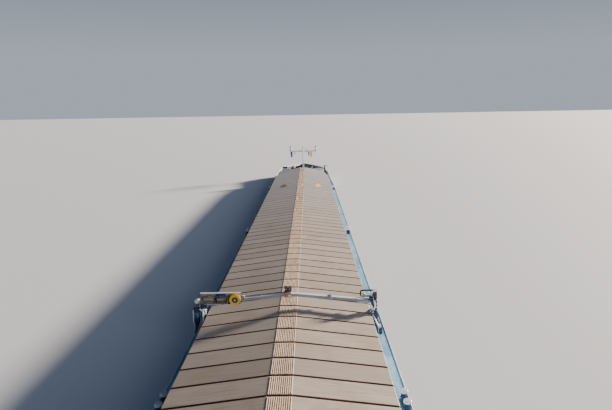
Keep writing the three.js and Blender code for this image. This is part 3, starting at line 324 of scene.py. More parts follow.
# Black synthetic rubber, moulded: matt, a bit grey with dust.
RUBBER = mottled("black_moulded_rubber", "#1b1c1e", 0.7, 0.0, ("#191a1c", "#4a4845"), (200, 0.5, 0.85),
                 (18, 0.2, 0.8), 1)
GLASS = window_glass()
RED_LENS = lantern_lens("red_acrylic_lens", "#c22a1e")
GREEN_LENS = lantern_lens("green_acrylic_lens", "#1f9a55")
CLEAR_LENS = lantern_lens("clear_acrylic_lens", "#eef2f0")
AMBER_LENS = lantern_lens("amber_acrylic_lens", "#e8842a")
VINYL = seat_vinyl()
TEAL = enamel("teal_valve_enamel", "#2d7f86", "#4d9298")
DEEP_BLUE = enamel("deep_blue_alkyd_enamel", "#1d2c72", "#2e3f82")
PALE_RUST = enamel("faded_red_oxide_enamel", "#a5796c", "#8d665a")
TAUPE = enamel("taupe_primer_enamel", "#8f8378", "#7a6e64")
SAND_DECK = enamel("sand_coloured_deck_enamel", "#c3b39d", "#a8967f", rough=0.65)
WHITE = enamel("white_alkyd_enamel", "#e9ebec", "#cfd3d4")
CREAM = enamel("cream_deckhouse_enamel", "#e7e3d6", "#cfc9b8")
# Grey for the crane beam's sides, darkened as painted shade.
BEAM_SIDE_PAINTED_SHADE = enamel("beam_side_painted_shade_enamel", "#7f858b", "#6f757b")
GREY = enamel("light_grey_alkyd_enamel", "#a6acb1", "#8d9398")
# Dark grey on the port inner faces of the bulwarks: painted shade.
PORT_BULWARK_SHADE_GREY = enamel("port_bulwark_painted_shade_grey", "#33363b", "#4b4b4a", rough=0.85)
SLATE = enamel("dark_grey_alkyd_enamel", "#4b5157", "#686c70")
NAVY = enamel("navy_alkyd_enamel", "#1c2b49", "#33425f")
SKY = enamel("light_blue_alkyd_enamel", "#a2cbdf", "#8fb3c4")
BLACK = enamel("black_alkyd_enamel", "#17191d", "#34363a")
YELLOW = enamel("yellow_alkyd_enamel", "#dba70c", "#c39a2c")
RED = enamel("signal_red_alkyd_enamel", "#b42a22", "#9c4a3f")
ENGINE_GREEN = enamel("engine_green_heat_enamel", "#4e6b5a", "#5f7767", rusty=0.72, rough=0.45)
SIGNAL_YELLOW = enamel("signal_yellow_road_paint", "#e6c02c", "#cdb258", rusty=0.8, rough=0.7)
BLUE_CLOTH = flag_cloth("blue_knitted_bunting", "#1a3fa0", "#2f52a8")
PALE_CLOTH = flag_cloth("pale_blue_knitted_bunting", "#6d8bb5", "#93a9c4")
YELLOW_CLOTH = flag_cloth("yellow_knitted_bunting", "#f5c015", "#f0cb3e")
WHITE_CLOTH = flag_cloth("white_knitted_bunting", "#dfe2e4", "#c6c9cc")


# The bench: what every piece is modelled with

def free():
    """Leaves edit mode and deselects everything."""
    if bpy.context.object and bpy.context.object.mode == "EDIT":
        bpy.ops.object.mode_set(mode="OBJECT")
    bpy.ops.object.select_all(action="DESELECT")


def at(point):
    """A place or a size of the real vessel, on the model."""
    return Vector(point) * SCALE


def opened():
    """Settles the primitive that was just added, with its place in its mesh, and opens it for editing."""
    bpy.ops.object.transform_apply(location=True, rotation=True, scale=True)
    bpy.ops.object.mode_set(mode="EDIT")
    bpy.ops.mesh.select_mode(type="VERT")
    bpy.ops.mesh.select_all(action="DESELECT")
    return bpy.context.object


def block(low, high):
    """Opens a block between two corners."""
    free()
    low, high = at(low), at(high)
    bpy.ops.mesh.primitive_cube_add(size=1, location=(low + high) / 2, scale=high - low)
    return opened()


def round_bar(start, end, radius, sides=16, end_radius=None):
    """Opens a round bar from one point to another. With an end radius it tapers."""
    free()
    start, end = at(start), at(end)
    bpy.ops.mesh.primitive_cone_add(
        vertices=sides,
        radius1=radius * SCALE,
        radius2=(radius if end_radius is None else end_radius) * SCALE,
        depth=(end - start).length,
        location=(start + end) / 2,
        rotation=(end - start).to_track_quat("Z", "Y").to_euler(),
    )
    return opened()


def bent(rows, around=False):
    """Opens a grid bent onto rows of points. Around closes each row on itself and fills the two ends."""
    free()
    wide, long = len(rows[0]), len(rows)
    bpy.ops.mesh.primitive_grid_add(x_subdivisions=wide - 1, y_subdivisions=long - 1)
    piece = bpy.context.object
    for vertex, point in zip(piece.data.vertices, [p for row in rows for p in row]):
        vertex.co = at(point)
    opened()
    bpy.ops.mesh.select_all(action="SELECT")
    if around:
        bpy.ops.mesh.remove_doubles(threshold=1e-6)
        bpy.ops.mesh.select_all(action="DESELECT")
        bpy.ops.mesh.select_non_manifold()
        bpy.ops.mesh.edge_face_add()
        bpy.ops.mesh.select_all(action="SELECT")
        bpy.ops.mesh.normals_make_consistent(inside=False)
    bpy.ops.mesh.select_all(action="DESELECT")
    return piece


def turned(outline, foot, axis, sides=20):
    """Opens a piece turned on a lathe: an outline of (radius, height) points, spun about an axis."""
    free()
    axis = Vector(axis).normalized()
    out = axis.orthogonal().normalized()
    points = [at(foot) + (out * radius + axis * high) * SCALE for radius, high in outline]
    bpy.ops.mesh.primitive_plane_add(size=0.01, location=points[0])
    opened()
    bpy.ops.mesh.select_all(action="SELECT")
    bpy.ops.mesh.merge(type="CENTER")
    for before, after in zip(points, points[1:]):
        bpy.ops.mesh.extrude_vertices_move(TRANSFORM_OT_translate={"value": after - before})
    bpy.ops.mesh.select_all(action="SELECT")
    bpy.ops.mesh.spin(steps=sides, angle=2 * pi, center=at(foot), axis=axis, use_auto_merge=True)
    bpy.ops.mesh.select_all(action="SELECT")
    bpy.ops.mesh.remove_doubles(threshold=1e-6)
    bpy.ops.mesh.normals_make_consistent(inside=False)
    bpy.ops.mesh.select_all(action="DESELECT")
    return bpy.context.object


def tops(at, n):
    """The test of a face that looks up."""
    return n.z > 0.9


def pick(kind, test):
    """Selects the faces, edges or verts of the open piece whose middle and normal pass a test."""
    modes = {"verts": (True, False, False), "edges": (False, True, False), "faces": (False, False, True)}
    bpy.context.tool_settings.mesh_select_mode = modes[kind]
    mesh = bpy.context.object.data
    edit = bmesh.from_edit_mesh(mesh)
    for element in (*edit.faces, *edit.edges, *edit.verts):
        element.select_set(False)
    for element in getattr(edit, kind):
        if kind == "verts":
            middle, normal = element.co, element.normal
        elif kind == "edges":
            ends = [v.co for v in element.verts]
            middle, normal = (ends[0] + ends[1]) / 2, (ends[1] - ends[0]).normalized()
        else:
            middle, normal = element.calc_center_median(), element.normal
        if test(middle / SCALE, normal):
            element.select_set(True)
    edit.select_flush_mode()
    bmesh.update_edit_mesh(mesh)


def cut(point, normal):
    """Cuts the whole open piece through by a plane."""
    bpy.ops.mesh.select_all(action="SELECT")
    bpy.ops.mesh.bisect(plane_co=at(point), plane_no=normal)
    bpy.ops.mesh.select_all(action="DESELECT")


def push(value):
    """Moves what is selected."""
    bpy.ops.transform.translate(value=at(value))


def grow(value, about):
    """Scales what is selected about a point."""
    bpy.ops.transform.resize(value=value, center_override=at(about))


def extrude(value):
    """Extrudes the selected faces."""
    bpy.ops.mesh.extrude_region_move(TRANSFORM_OT_translate={"value": at(value)})


def inset(width):
    """Insets the selected faces."""
    bpy.ops.mesh.inset(thickness=width * SCALE, depth=0)


def coat(material):
    """Gives the open piece its first material."""
    bpy.context.object.data.materials.append(material)


def scrap(piece):
    """Throws away a pattern whose copies are made."""
    bpy.data.objects.remove(piece)


def paint(material, test):
    """Gives the faces of the open piece that pass a test one more material."""
    piece = bpy.context.object
    if material.name not in piece.data.materials:
        piece.data.materials.append(material)
    pick("faces", test)
    piece.active_material_index = piece.data.materials.find(material.name)
    bpy.ops.object.material_slot_assign()


def finished(material, edge=0.0, smooth=35, segments=2):
    """Closes the open piece, its edges eased. Corners flatter than smooth, in degrees, are shaded round."""
    piece = bpy.context.object
    free()
    if not piece.data.materials:
        piece.data.materials.append(material)
    piece.select_set(True)
    bpy.context.view_layer.objects.active = piece
    bpy.ops.object.shade_smooth_by_angle(angle=radians(smooth))
    if edge:
        applied(piece, "BEVEL", width=edge * SCALE, segments=segments, limit_method="ANGLE",
                harden_normals=True)
    free()
    return piece


def plate(low, high, material, edge=0.01):
    """A block with eased edges."""
    block(low, high)
    return finished(material, edge)


def rod(start, end, radius, material, sides=12, end_radius=None, edge=0.0):
    """A finished round bar from one point to another."""
    round_bar(start, end, radius, sides, end_radius)
    return finished(material, edge)


def lathed(outline, foot, axis, material, sides=20):
    """A finished piece of the lathe."""
    turned(outline, foot, axis, sides)
    return finished(material)


def pipe(points, radius, material, bend=0.0):
    """A pipe along a line of points, its corners bent round."""
    points = [Vector(p) for p in points]
    steps = 5
    path = [points[0]]
    for before, corner, after in zip(points, points[1:], points[2:]):
        legs = [before - corner, after - corner]
        reach = min([bend] + [0.48 * leg.length for leg in legs])
        first, last = (corner + leg.normalized() * reach for leg in legs)
        for step in range(steps + 1 if bend else 1):
            t = step / steps if bend else 0.5
            path.append(first * (1 - t) ** 2 + corner * 2 * t * (1 - t) + last * t**2)
    path.append(points[-1])
    free()
    bpy.ops.curve.primitive_nurbs_path_add()
    line = bpy.context.object.data
    line.splines.clear()
    spline = line.splines.new("POLY")
    spline.points.add(len(path) - 1)
    for point, place in zip(spline.points, path):
        point.co = (*at(place), 1)
    line.bevel_depth = radius * SCALE
    line.bevel_resolution = 2
    line.use_fill_caps = True
    bpy.ops.object.convert(target="MESH")
    return finished(material, smooth=50)


def applied(piece, kind, **settings):
    """Adds a modifier and applies it."""
    free()
    bpy.context.view_layer.objects.active = piece
    piece.select_set(True)
    modifier = piece.modifiers.new(kind.lower(), kind)
    for name, value in settings.items():
        setattr(modifier, name, value)
    bpy.ops.object.modifier_apply(modifier=modifier.name)
    free()
    return piece


def cut_out(piece, *tools):
    """Cuts the shapes of the tools out of a piece, and throws the tools away."""
    for tool in tools:
        applied(piece, "BOOLEAN", operation="DIFFERENCE", object=tool, solver="EXACT")
        scrap(tool)
    return piece


def copied(piece, shift=(0, 0, 0), turn=0.0, axis="Z", about=(0, 0, 0), flip=False):
    """A copy with a mesh of its own: mirrored if asked, turned about an axis, then shifted."""
    other = piece.copy()
    other.data = piece.data.copy()
    bpy.context.scene.collection.objects.link(other)
    if flip:
        other.data.transform(Matrix.Diagonal((1, -1, 1, 1)))
        other.data.flip_normals()
    middle = Matrix.Translation(at(about))
    spin = Matrix.Rotation(turn, 4, axis)
    other.data.transform(Matrix.Translation(at(shift)) @ middle @ spin @ middle.inverted())
    return other


def both(piece):
    """A piece made to port, with its twin to starboard."""
    return [piece, copied(piece, flip=True)]


def spread(piece, places, **turns):
    """Copies of a piece at places, in its stead."""
    copies = [copied(piece, place, **turns) for place in places]
    scrap(piece)
    return copies


def joined(name, pieces):
    """Joins pieces into one object, each with its own materials."""
    free()
    for piece in pieces:
        piece.select_set(True)
    bpy.context.view_layer.objects.active = pieces[0]
    if len(pieces) > 1:
        bpy.ops.object.join()
    whole = bpy.context.view_layer.objects.active
    whole.name = name
    free()
    return whole


def carried(name, pieces, body, slot, *nodes, place=None):
    """Joins pieces and hangs them on a body, and hides the CAD nodes that they stand for. The slot is not
    used.
    """
    piece = joined(name, pieces)
    if place:
        piece.data.transform(Matrix.Translation(at(place)))
    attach(piece, body)
    if nodes:
        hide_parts(*nodes)
    return piece


def in_place_of(node_name, pieces, body, slot, place=None):
    """The piece that stands for one CAD node, which it is named after."""
    return carried(node_name + "_dressed", pieces, body, slot, node_name, place=place)


def mirrored(piece):
    """A port piece brought over to starboard."""
    other = copied(piece, flip=True)
    scrap(piece)
    return other


def sleeve(bore, radius, half):
    """The outline of a plain sleeve or drum, which turned() closes."""
    return [(bore, -half), (radius, -half), (radius, half), (bore, half), (bore, -half)]


def cheek(x, y, low, high, half, thin, share, edge):
    """A grey bearing plate across the vessel's length, drawn in towards its top."""
    block((x - half, y - thin, low), (x + half, y + thin, high))
    pick("faces", tops)
    grow((share, 1, 1), (x, y, high))
    return finished(GREY, edge)


def handle(start, end, out, radius, material, bend=0.0):
    """A bent rod that stands out from its start, runs along, and goes back in at its end."""
    start, end, out = Vector(start), Vector(end), Vector(out)
    return pipe([start, start + out, end + out, end], radius, material, bend)


def painted(material, *nodes):
    """Gives CAD nodes whose shape is right a better material."""
    for name in nodes:
        mesh = frame["nodes"][name].data
        for slot in range(max(1, len(mesh.materials))):
            if slot < len(mesh.materials):
                mesh.materials[slot] = material
            else:
                mesh.materials.append(material)


def fair(table, x, column):
    """Reads a column of a table by a smooth line through its rows, which never swings past them."""
    last = len(table) - 2
    i = max(0, min(last, sum(row[0] <= x for row in table) - 1))
    secants = [(b[column] - a[column]) / (b[0] - a[0]) for a, b in zip(table, table[1:])]

    def steepness(k):
        before, after = secants[max(0, k - 1)], secants[min(last, k)]
        return 0.0 if before * after <= 0 else 2 * before * after / (before + after)

    (x0, y0), (x1, y1) = ((table[k][0], table[k][column]) for k in (i, i + 1))
    wide = x1 - x0
    t = min(1.0, max(0.0, (x - x0) / wide))
    ease = t * t * (3 - 2 * t)
    return (
        y0 + (y1 - y0) * ease
        + wide * steepness(i) * t * (1 - t) ** 2
        - wide * steepness(i + 1) * t * t * (1 - t)
    )


def stepped(table, each):
    """Places along a table, with that many steps between its rows."""
    places = [row[0] for row in table]
    steps = [a + (b - a) * k / each for a, b in zip(places, places[1:]) for k in range(each)]
    return steps + [places[-1]]


# Hatch covers

def hatch_cover():
    """One cover between x 0 and the pitch: a gabled sheet with skirts, fields and the ribbed walkway."""
    play = 0.015
    block((play, -EAVE_HALF, RIDGE - RISE - COVER_PLATE), (PITCH - play, EAVE_HALF, RIDGE - RISE))
    for y in (-WALK_HALF, WALK_HALF):
        cut((0, y, 0), ABEAM)
    pick("verts", lambda at, n: abs(at.y) > WALK_HALF + 0.01)
    push((0, 0, EAVE - RIDGE))
    lip = 0.05
    for side in (1, -1):
        cut((0, side * (EAVE_HALF - lip), 0), ABEAM)
    pick("faces", lambda at, n: n.z < -0.9 and abs(at.y) > EAVE_HALF - lip)
    extrude((0, 0, -0.11))
    parts = [finished(SEAL_AND_PAINTED_SHADE, smooth=20)]
    for low, high in ((-EAVE_HALF, -WALK_HALF), (-WALK_HALF, WALK_HALF), (WALK_HALF, EAVE_HALF)):
        walk = low == -WALK_HALF
        block((JOINT_GAP / 2, low, RIDGE - RISE - 0.02), (PITCH - JOINT_GAP / 2, high, RIDGE))
        if not walk:
            pick("verts", lambda at, n: abs(at.y) > WALK_HALF + 0.01)
            push((0, 0, EAVE - RIDGE))
        coat(WALKWAY if walk else COVER)
        # Painted shade: the aft-facing edge of each raised field takes the dark rubber colour.
        paint(SEAL_AND_PAINTED_SHADE, lambda at, n: n.x < -0.9)
        parts.append(finished(COVER, 0.012))
    for side in (1, -1):
        edges = sorted((side * (EAVE_HALF + 0.012), side * (EAVE_HALF - 0.01)))
        skirt = plate((0.05, edges[0], EAVE - 0.22), (PITCH - 0.05, edges[1], EAVE - 0.04), COVER, 0.004)
        parts.append(skirt)
    ribs = 12
    step = 2 * WALK_HALF / ribs
    block((0.09, -0.3 * step, RIDGE - 0.01), (PITCH - 0.09, 0.3 * step, RIDGE + 0.012))
    pick("faces", tops)
    grow((0.985, 0.5, 1), (PITCH / 2, 0, RIDGE))
    parts += spread(finished(WALKWAY), [(0, (k + 0.5) * step - WALK_HALF, 0) for k in range(ribs)])
    return joined("cover", parts)


def hatch_covers():
    """The 56 covers, eight on each body. The last six narrow with the bow."""
    one = hatch_cover()
    for group in range(COVER_COUNT // PER_GROUP):
        places = [(HOLD_AFT + (group * PER_GROUP + k) * PITCH, 0, 0) for k in range(PER_GROUP)]
        name = "hatch_covers_%d" % (group + 1)
        parts = [copied(one, place) for place in places]
        if group == MARKED_GROUP:
            parts += cover_marks()
        covers = carried("covers_%d" % (group + 1), parts, name, "cover_aluminium", name)
        for vertex in covers.data.vertices:
            x, y, _ = vertex.co / SCALE
            if abs(y) > WALK_HALF:
                narrow = (cover_half(x) - WALK_HALF) / (EAVE_HALF - WALK_HALF)
                vertex.co.y = copysign(WALK_HALF + (abs(y) - WALK_HALF) * narrow, y) * SCALE
    scrap(one)


def cover_marks():
    """Two yellow diamonds painted across the joint of two covers, each in two halves."""
    joint, middle, half_long, half_wide = HOLD_AFT + MARKED_JOINT * PITCH, 2.18, 1.2, 0.45
    parts = []
    for end in (1, -1):
        block((joint + end * JOINT_GAP / 2, middle - half_wide, 0),
              (joint + end * half_long, middle + half_wide, 0.003))
        pick("faces", lambda at, n: n.x * end > 0.9)
        grow((1, 0.04, 1), (joint, middle, 0))
        bpy.ops.mesh.select_all(action="SELECT")
        push((0, 0, RIDGE - SLOPE * (middle - WALK_HALF)))
        pick("verts", lambda at, n: at.y > middle + 0.01)
        push((0, 0, -SLOPE * half_wide))
        pick("verts", lambda at, n: at.y < middle - 0.01)
        push((0, 0, SLOPE * half_wide))
        parts += both(finished(SIGNAL_YELLOW))
    return parts


# Hull

# x, half widths of flat bottom, side and deck edge, height of the bottom, the bilge's rise, the deck's height
BOW_STATIONS = (
    (HOLD_FORE, 3.75, 4.3, 4.35, 0.0, 0.6, 3.1),
    (43.2, 3.1, 3.95, 4.08, 0.0, 0.8, 3.2),
    (45.2, 2.5, 3.5, 3.78, 0.0, 1.0, 3.28),
    (47.2, 1.7, 2.7, 3.18, 0.05, 1.1, 3.35),
    (49.2, 0.8, 1.6, 2.2, 0.3, 1.2, 3.42),
    (50.3, 0.4, 0.95, 1.5, 0.7, 1.1, 3.46),
    (51.6, 0.12, 0.3, 0.65, 1.5, 0.8, 3.49),
    (52.5, 0.03, 0.05, 0.1, 2.4, 0.3, 3.5),
)
STERN_STATIONS = (
    (-52.3, 0.9, 1.2, 1.5, 2.35, 0.25, 3.1),
    (-52.1, 1.3, 2.1, 2.5, 2.25, 0.3, 3.1),
    (-51.4, 1.7, 2.9, 3.3, 2.15, 0.35, 3.1),
    (-50.3, 1.9, 3.6, 4.0, 2.08, 0.4, 3.1),
    (-48.5, 1.9, 4.1, 4.4, 2.02, 0.45, 3.1),
    (-47.0, 1.9, 4.35, 4.6, 1.98, 0.5, 3.1),
    (-45.5, 2.2, 4.5, 4.67, 1.3, 0.7, 3.1),
    (-43.5, 3.0, 4.65, 4.69, 0.55, 0.8, 3.1),
    (-41.0, 3.9, 4.69, 4.69, 0.0, 0.6, 3.1),
    (HOLD_AFT, 4.19, 4.69, 4.69, 0.0, 0.5, 3.1),
)
HULL_TAPER = ((29.2, HALF_BEAM), (35.2, 4.55), (HOLD_FORE, 4.35))
STEPS = 4
COLUMN_WELL = ((-40.02, -0.62, 0.7), (-38.78, 0.62, 4.1))
ENGINE_ROOM = ((-44.2, -1.3, 1.0), (-41.5, 1.3, 4.1))


def half_section(flat, side, beam, keel, bilge, deck):
    """Half a hull section to port, from the flat bottom round the bilge and the rub rail to the deck."""
    turns = [radians(90) * k / 8 for k in range(9)]
    points = [(flat + (side - flat) * sin(a), keel + bilge * (1 - cos(a))) for a in turns]
    foot = deck - RAIL_LOW
    share = (foot - keel - bilge) / (deck - keel - bilge)
    plating = side + (beam - side) * share
    for k in range(7):
        angle = radians(-90 + 30 * k)
        base = plating + (beam - plating) * k / 6
        points.append((base + RAIL_OUT * cos(angle), foot + RAIL_TALL / 2 * (1 + sin(angle))))
    return points + [(beam, deck)]


def shell(stations):
    """Opens the closed skin of one end of the hull."""
    rows = []
    for x in stepped(stations, STEPS):
        half = half_section(*(fair(stations, x, column) for column in range(1, 7)))
        whole = half + [(-y, z) for y, z in reversed(half)]
        rows.append([(x, y, z) for y, z in whole + whole[:1]])
    return bent(rows, around=True)


def deck_painted(paint_on_top=DECK_BLUE):
    """Closes an open hull piece: blue enamel on its sides, deck paint on what faces up."""
    coat(HULL)
    paint(paint_on_top, lambda at, n: n.z > 0.95 and at.z > DECK - 0.02)
    return finished(HULL)


def side_tank(from_x, to_x):
    """Port side tank between two places along the hold, from the hold's wall out to the plating."""
    rows = []
    bends = [x for x in stepped(HULL_TAPER, STEPS) if from_x < x < to_x]
    for x in [from_x, *bends, to_x]:
        beam = fair(HULL_TAPER, x, 1)
        inner = cover_half(x) - COAMING_IN
        section = [(inner, 0), *half_section(beam - 0.5, beam, beam, 0, 0.5, DECK), (inner, DECK), (inner, 0)]
        rows.append([(x, y, z) for y, z in section])
    bent(rows, around=True)
    return deck_painted()


def crane_rail(from_x, to_x):
    """Flat-bottomed rail to port, on its chairs, that the crane rolls on."""
    block((from_x, CRANE_RAIL_Y - 0.05, DECK), (to_x, CRANE_RAIL_Y + 0.05, DECK + 0.012))
    pick("faces", tops)
    inset(0.028)
    extrude((0, 0, 0.026))
    extrude((0, 0, 0.022))
    pick("faces", lambda at, n: abs(n.y) > 0.9 and at.z > DECK + 0.04)
    bpy.ops.mesh.extrude_region_shrink_fatten(TRANSFORM_OT_shrink_fatten={"value": 0.008 * SCALE})
    return finished(ZINC, 0.003)


def manhole():
    """Round cover of a tank on the gangway, held by nuts, at x 0."""
    y = 4.4
    lid = lathed([(0, 0.03), (0.15, 0.03), (0.16, 0.02), (0.16, 0), (0, 0)], (0, y, DECK), UP, SKY, 24)
    nut = rod((0.13, y, DECK + 0.02), (0.13, y, DECK + 0.045), 0.014, ZINC, 6)
    nuts = [copied(nut, turn=radians(45 * k), about=(0, y, 0)) for k in range(8)]
    scrap(nut)
    return joined("manhole", [lid, *nuts])


def bollard_pair():
    """Mooring bollards on their plate at the origin: navy posts with white caps, and a bar for the rope."""
    post = lathed([(0, 0), (0.15, 0), (0.125, 0.05), (0.12, 0.1), (0.12, 0.3), (0.135, 0.34), (0.135, 0.38),
                   (0, 0.38)], (0, 0, 0), UP, NAVY)
    cap = lathed([(0, 0.37), (0.145, 0.37), (0.15, 0.385), (0.15, 0.45), (0.13, 0.475), (0, 0.48)],
                 (0, 0, 0), UP, WHITE)
    horn = rod((0, -0.16, 0.2), (0, 0.16, 0.2), 0.022, NAVY, 10)
    posts = spread(joined("post", [post, cap, horn]), [(-0.36, 0, 0), (0.36, 0, 0)])
    foot = plate((-0.54, -0.145, 0), (0.54, 0.145, 0.04), NAVY, 0.012)
    return joined("bollards", [foot, *posts])


def ventilator(tall):
    """Mushroom ventilator at x 0, y 0, z 0, with a hand wheel under its cap."""
    outline = [(0, 0), (0.14, 0), (0.14, 0.02), (0.1, 0.03), (0.1, tall), (0.13, tall + 0.01),
               (0.13, tall - 0.02), (0.18, tall - 0.02), (0.18, tall + 0.03), (0.15, tall + 0.1),
               (0.08, tall + 0.145), (0, tall + 0.16)]
    stem = lathed(outline, (0, 0, 0), UP, WHITE)
    bolts = [rod((0.12 * cos(a), 0.12 * sin(a), 0.015), (0.12 * cos(a), 0.12 * sin(a), 0.035),
                 0.012, ZINC, 6) for a in (radians(30 + 60 * k) for k in range(6))]
    return joined("ventilator", [stem, *bolts])


def deck_at(x):
    """The height of the bow's deck."""
    return fair(BOW_STATIONS, x, 6)


def coaming_stays():
    """Flanged brackets of the port coaming, one under each joint of the straight covers, and its bar."""
    foot_y = EAVE_HALF - COAMING_IN + COAMING_THICK
    block((-0.012, foot_y, DECK), (0.012, foot_y + 0.19, EAVE - 0.3))
    pick("faces", tops)
    grow((1, 0.45, 1), (0, foot_y, 0))
    web = finished(SKY, 0.003)
    flange = pipe([(0, foot_y + 0.19, DECK + 0.01), (0, foot_y + 0.088, EAVE - 0.31)], 0.016, SKY)
    stay = joined("stay", [web, flange])
    stays = spread(stay, [(HOLD_AFT + k * PITCH, 0, 0) for k in range(1, STRAIGHT_COVERS)])
    bar = pipe([(HOLD_AFT, foot_y, 3.68), (TAPER_FROM, foot_y, 3.68)], 0.035, SKY)
    return [*stays, bar]


def hull():
    """The hull's ends and side tanks, with what is welded to the gangways."""
    pair = bollard_pair()
    hole = manhole()
    shell(BOW_STATIONS)
    bow = [deck_painted(SAND_DECK), *both(side_tank(TAPER_FROM, HOLD_FORE)),
           *both(crane_rail(TAPER_FROM, HOLD_FORE - 0.1))]
    vent = ventilator(0.75)
    for side in (1, -1):
        bow += [
            copied(pair, (44.3, side * 2.995, deck_at(44.3) - 0.01)),
            copied(pair, (48.3, side * 1.6, deck_at(48.3) - 0.01)),
            copied(vent, (42.4, side * 3.4, deck_at(42.4) - 0.01)),
        ]
    scrap(vent)
    lip = [(0.12, -0.02), (0.17, -0.02), (0.2, 0.0), (0.2, 0.04), (0.17, 0.07), (0.12, 0.07), (0.12, -0.02)]
    outboard = lathed(lip, (46.43, 3.5, 2.88), (0.2, 1, -0.2), NAVY, 24)
    bow += both(outboard)
    carried("bow_hull", bow, "hull", "hull_paint", "hull_bow")

    for name, side in SIDES:
        gangway = [side_tank(HOLD_AFT, TAPER_FROM), crane_rail(HOLD_AFT + 0.3, TAPER_FROM)]
        gangway += [copied(pair, (x, 4.44, DECK)) for x in (-31.4, -2.8, 24.4)]
        gangway += [copied(hole, (x, 0, 0)) for x in (-34.0, -22.2, -13.5, 6.5, 15.8, 27.5)]
        whole, stays = joined("side", gangway), joined("stays", coaming_stays())
        if side < 0:
            whole, stays = mirrored(whole), mirrored(stays)
        carried("side_tank_" + name, [whole], "hull", "hull_paint", "wing_tank_" + name)
        carried("coaming_stays_" + name, [stays], "hull", "deck_blue")

    shell(STERN_STATIONS)
    body = deck_painted()
    cut_out(body, *(plate(*corners, HULL, 0) for corners in (COLUMN_WELL, ENGINE_ROOM)))
    skeg_rows = []
    for share, half in ((0, 0.05), (0.15, 0.13), (0.5, 0.16), (0.85, 0.13), (1, 0.05)):
        line = [(-47.15, 0.75), (-46.3, 0.12), (-40.5, 0.02), (-40.0, 0.3), (-43.0, 2.0), (-47.15, 2.2)]
        y = half * (2 * share - 1) / max(0.3, abs(2 * share - 1))
        skeg_rows.append([(x, y, z) for x, z in line + line[:1]])
    bent(skeg_rows, around=True)
    skeg = finished(HULL, 0.02)
    boss = lathed([(0, 0), (0.24, 0), (0.26, 0.3), (0.235, 1.2), (0.19, 1.7), (0.15, 1.7), (0, 1.7)],
                  (-45.6, 0, 1.0), ASTERN, HULL)
    moorings = [copied(pair, (-50.2, side * 2.9, DECK)) for side in (1, -1)]
    carried("stern_hull", [body, skeg, boss, *moorings], "hull", "hull_paint", "hull_stern")
    scrap(pair)
    scrap(hole)
    painted(HULL, "hold_floor")
    painted(SKY, "coaming_port", "coaming_starboard", "coaming_aft")
    for name, side in SIDES:
        y = side * (HALF_BEAM - 0.03)
        bar = pipe([(-43.48, y, DECK + 0.002), (HULL_TAPER[0][0], y, DECK + 0.002)], 0.022, WHITE)
        carried("gunwale_bar_" + name, [bar], "hull", "white_paint", "gunwale_" + name)
    painted(WHITE, "coaming_fore")


# Small fittings that several pieces carry

def gusset(foot, run, rise, material, axis=0):
    """A triangular plate that runs out from a corner along an axis and rises against what it stiffens."""
    thick = 0.024
    low, high = list(foot), list(foot)
    high[axis] += run
    high[2] += rise
    low[1 - axis] -= thick / 2
    high[1 - axis] += thick / 2
    block([min(pair) for pair in zip(low, high)], [max(pair) for pair in zip(low, high)])
    pick("verts", lambda at, n: abs(at[axis] - foot[axis] - run) < 0.001 and at.z > foot[2] + rise / 2)
    push((0, 0, -0.85 * rise))
    return finished(material, 0.003)


def bolts(places, axis, size):
    """Hexagon bolt heads at places, standing out along an axis."""
    axis = Vector(axis)
    head = rod((0, 0, 0), axis * size * 0.7, size / 2, ZINC, 6, edge=size * 0.08)
    return spread(head, places)


def ring(middle, axis, radius, thick, material, sides=28):
    """A round hoop about an axis."""
    turns = [radians(45 * k) for k in range(9)]
    return lathed([(radius + thick * cos(a), thick * sin(a)) for a in turns], middle, axis, material, sides)


def hand_wheel(middle, axis, radius, material):
    """A hoop on three spokes and a hub."""
    axis = Vector(axis).normalized()
    out = axis.orthogonal().normalized()
    middle = Vector(middle)
    hub = middle - axis * 0.03, middle + axis * 0.03
    parts = [ring(middle, axis, radius, 0.014, material, 24), rod(*hub, 0.03, material)]
    for k in range(3):
        way = Matrix.Rotation(radians(120 * k), 3, axis) @ out
        parts.append(rod(middle, middle + way * radius, 0.01, material, 8))
    return joined("hand_wheel", parts)


def louvres(low, high, count, material):
    """Slats across an opening in a wall that faces along X or Y, between two corners."""
    parts = []
    tall = (high[2] - low[2]) / count
    thin = 0 if high[0] - low[0] < high[1] - low[1] else 1
    for k in range(count):
        z = low[2] + k * tall
        block((low[0], low[1], z), (high[0], high[1], z + tall * 0.3))
        pick("verts", lambda at, n: at[thin] > (low[thin] + high[thin]) / 2)
        push((0, 0, 0.02))
        parts.append(finished(material, 0.002))
    return parts


# Hatch crane. Its pieces are made with the middle of its beam at x 0.

CRANE_WHEELS = {"aft": -0.1, "fore": 2.4}
AXLE_HIGH = 3.323
STEM_WELL = 0.056
FOOT_LOW, FOOT_TOP = 3.26, 3.62
POST_TOP = 4.58
BEAM_UNDER, BEAM_TOP, BEAM_HALF = 5.06, 5.2, 0.13
BEAM_SLOPE = 0.104
BEAM_END = 4.21
REEL = (-0.5, 2.5, 5.1)


def beam_fall(y):
    """How far the crane's beam has come down at that distance from the middle."""
    return BEAM_SLOPE * max(0.0, abs(y) - WALK_HALF)


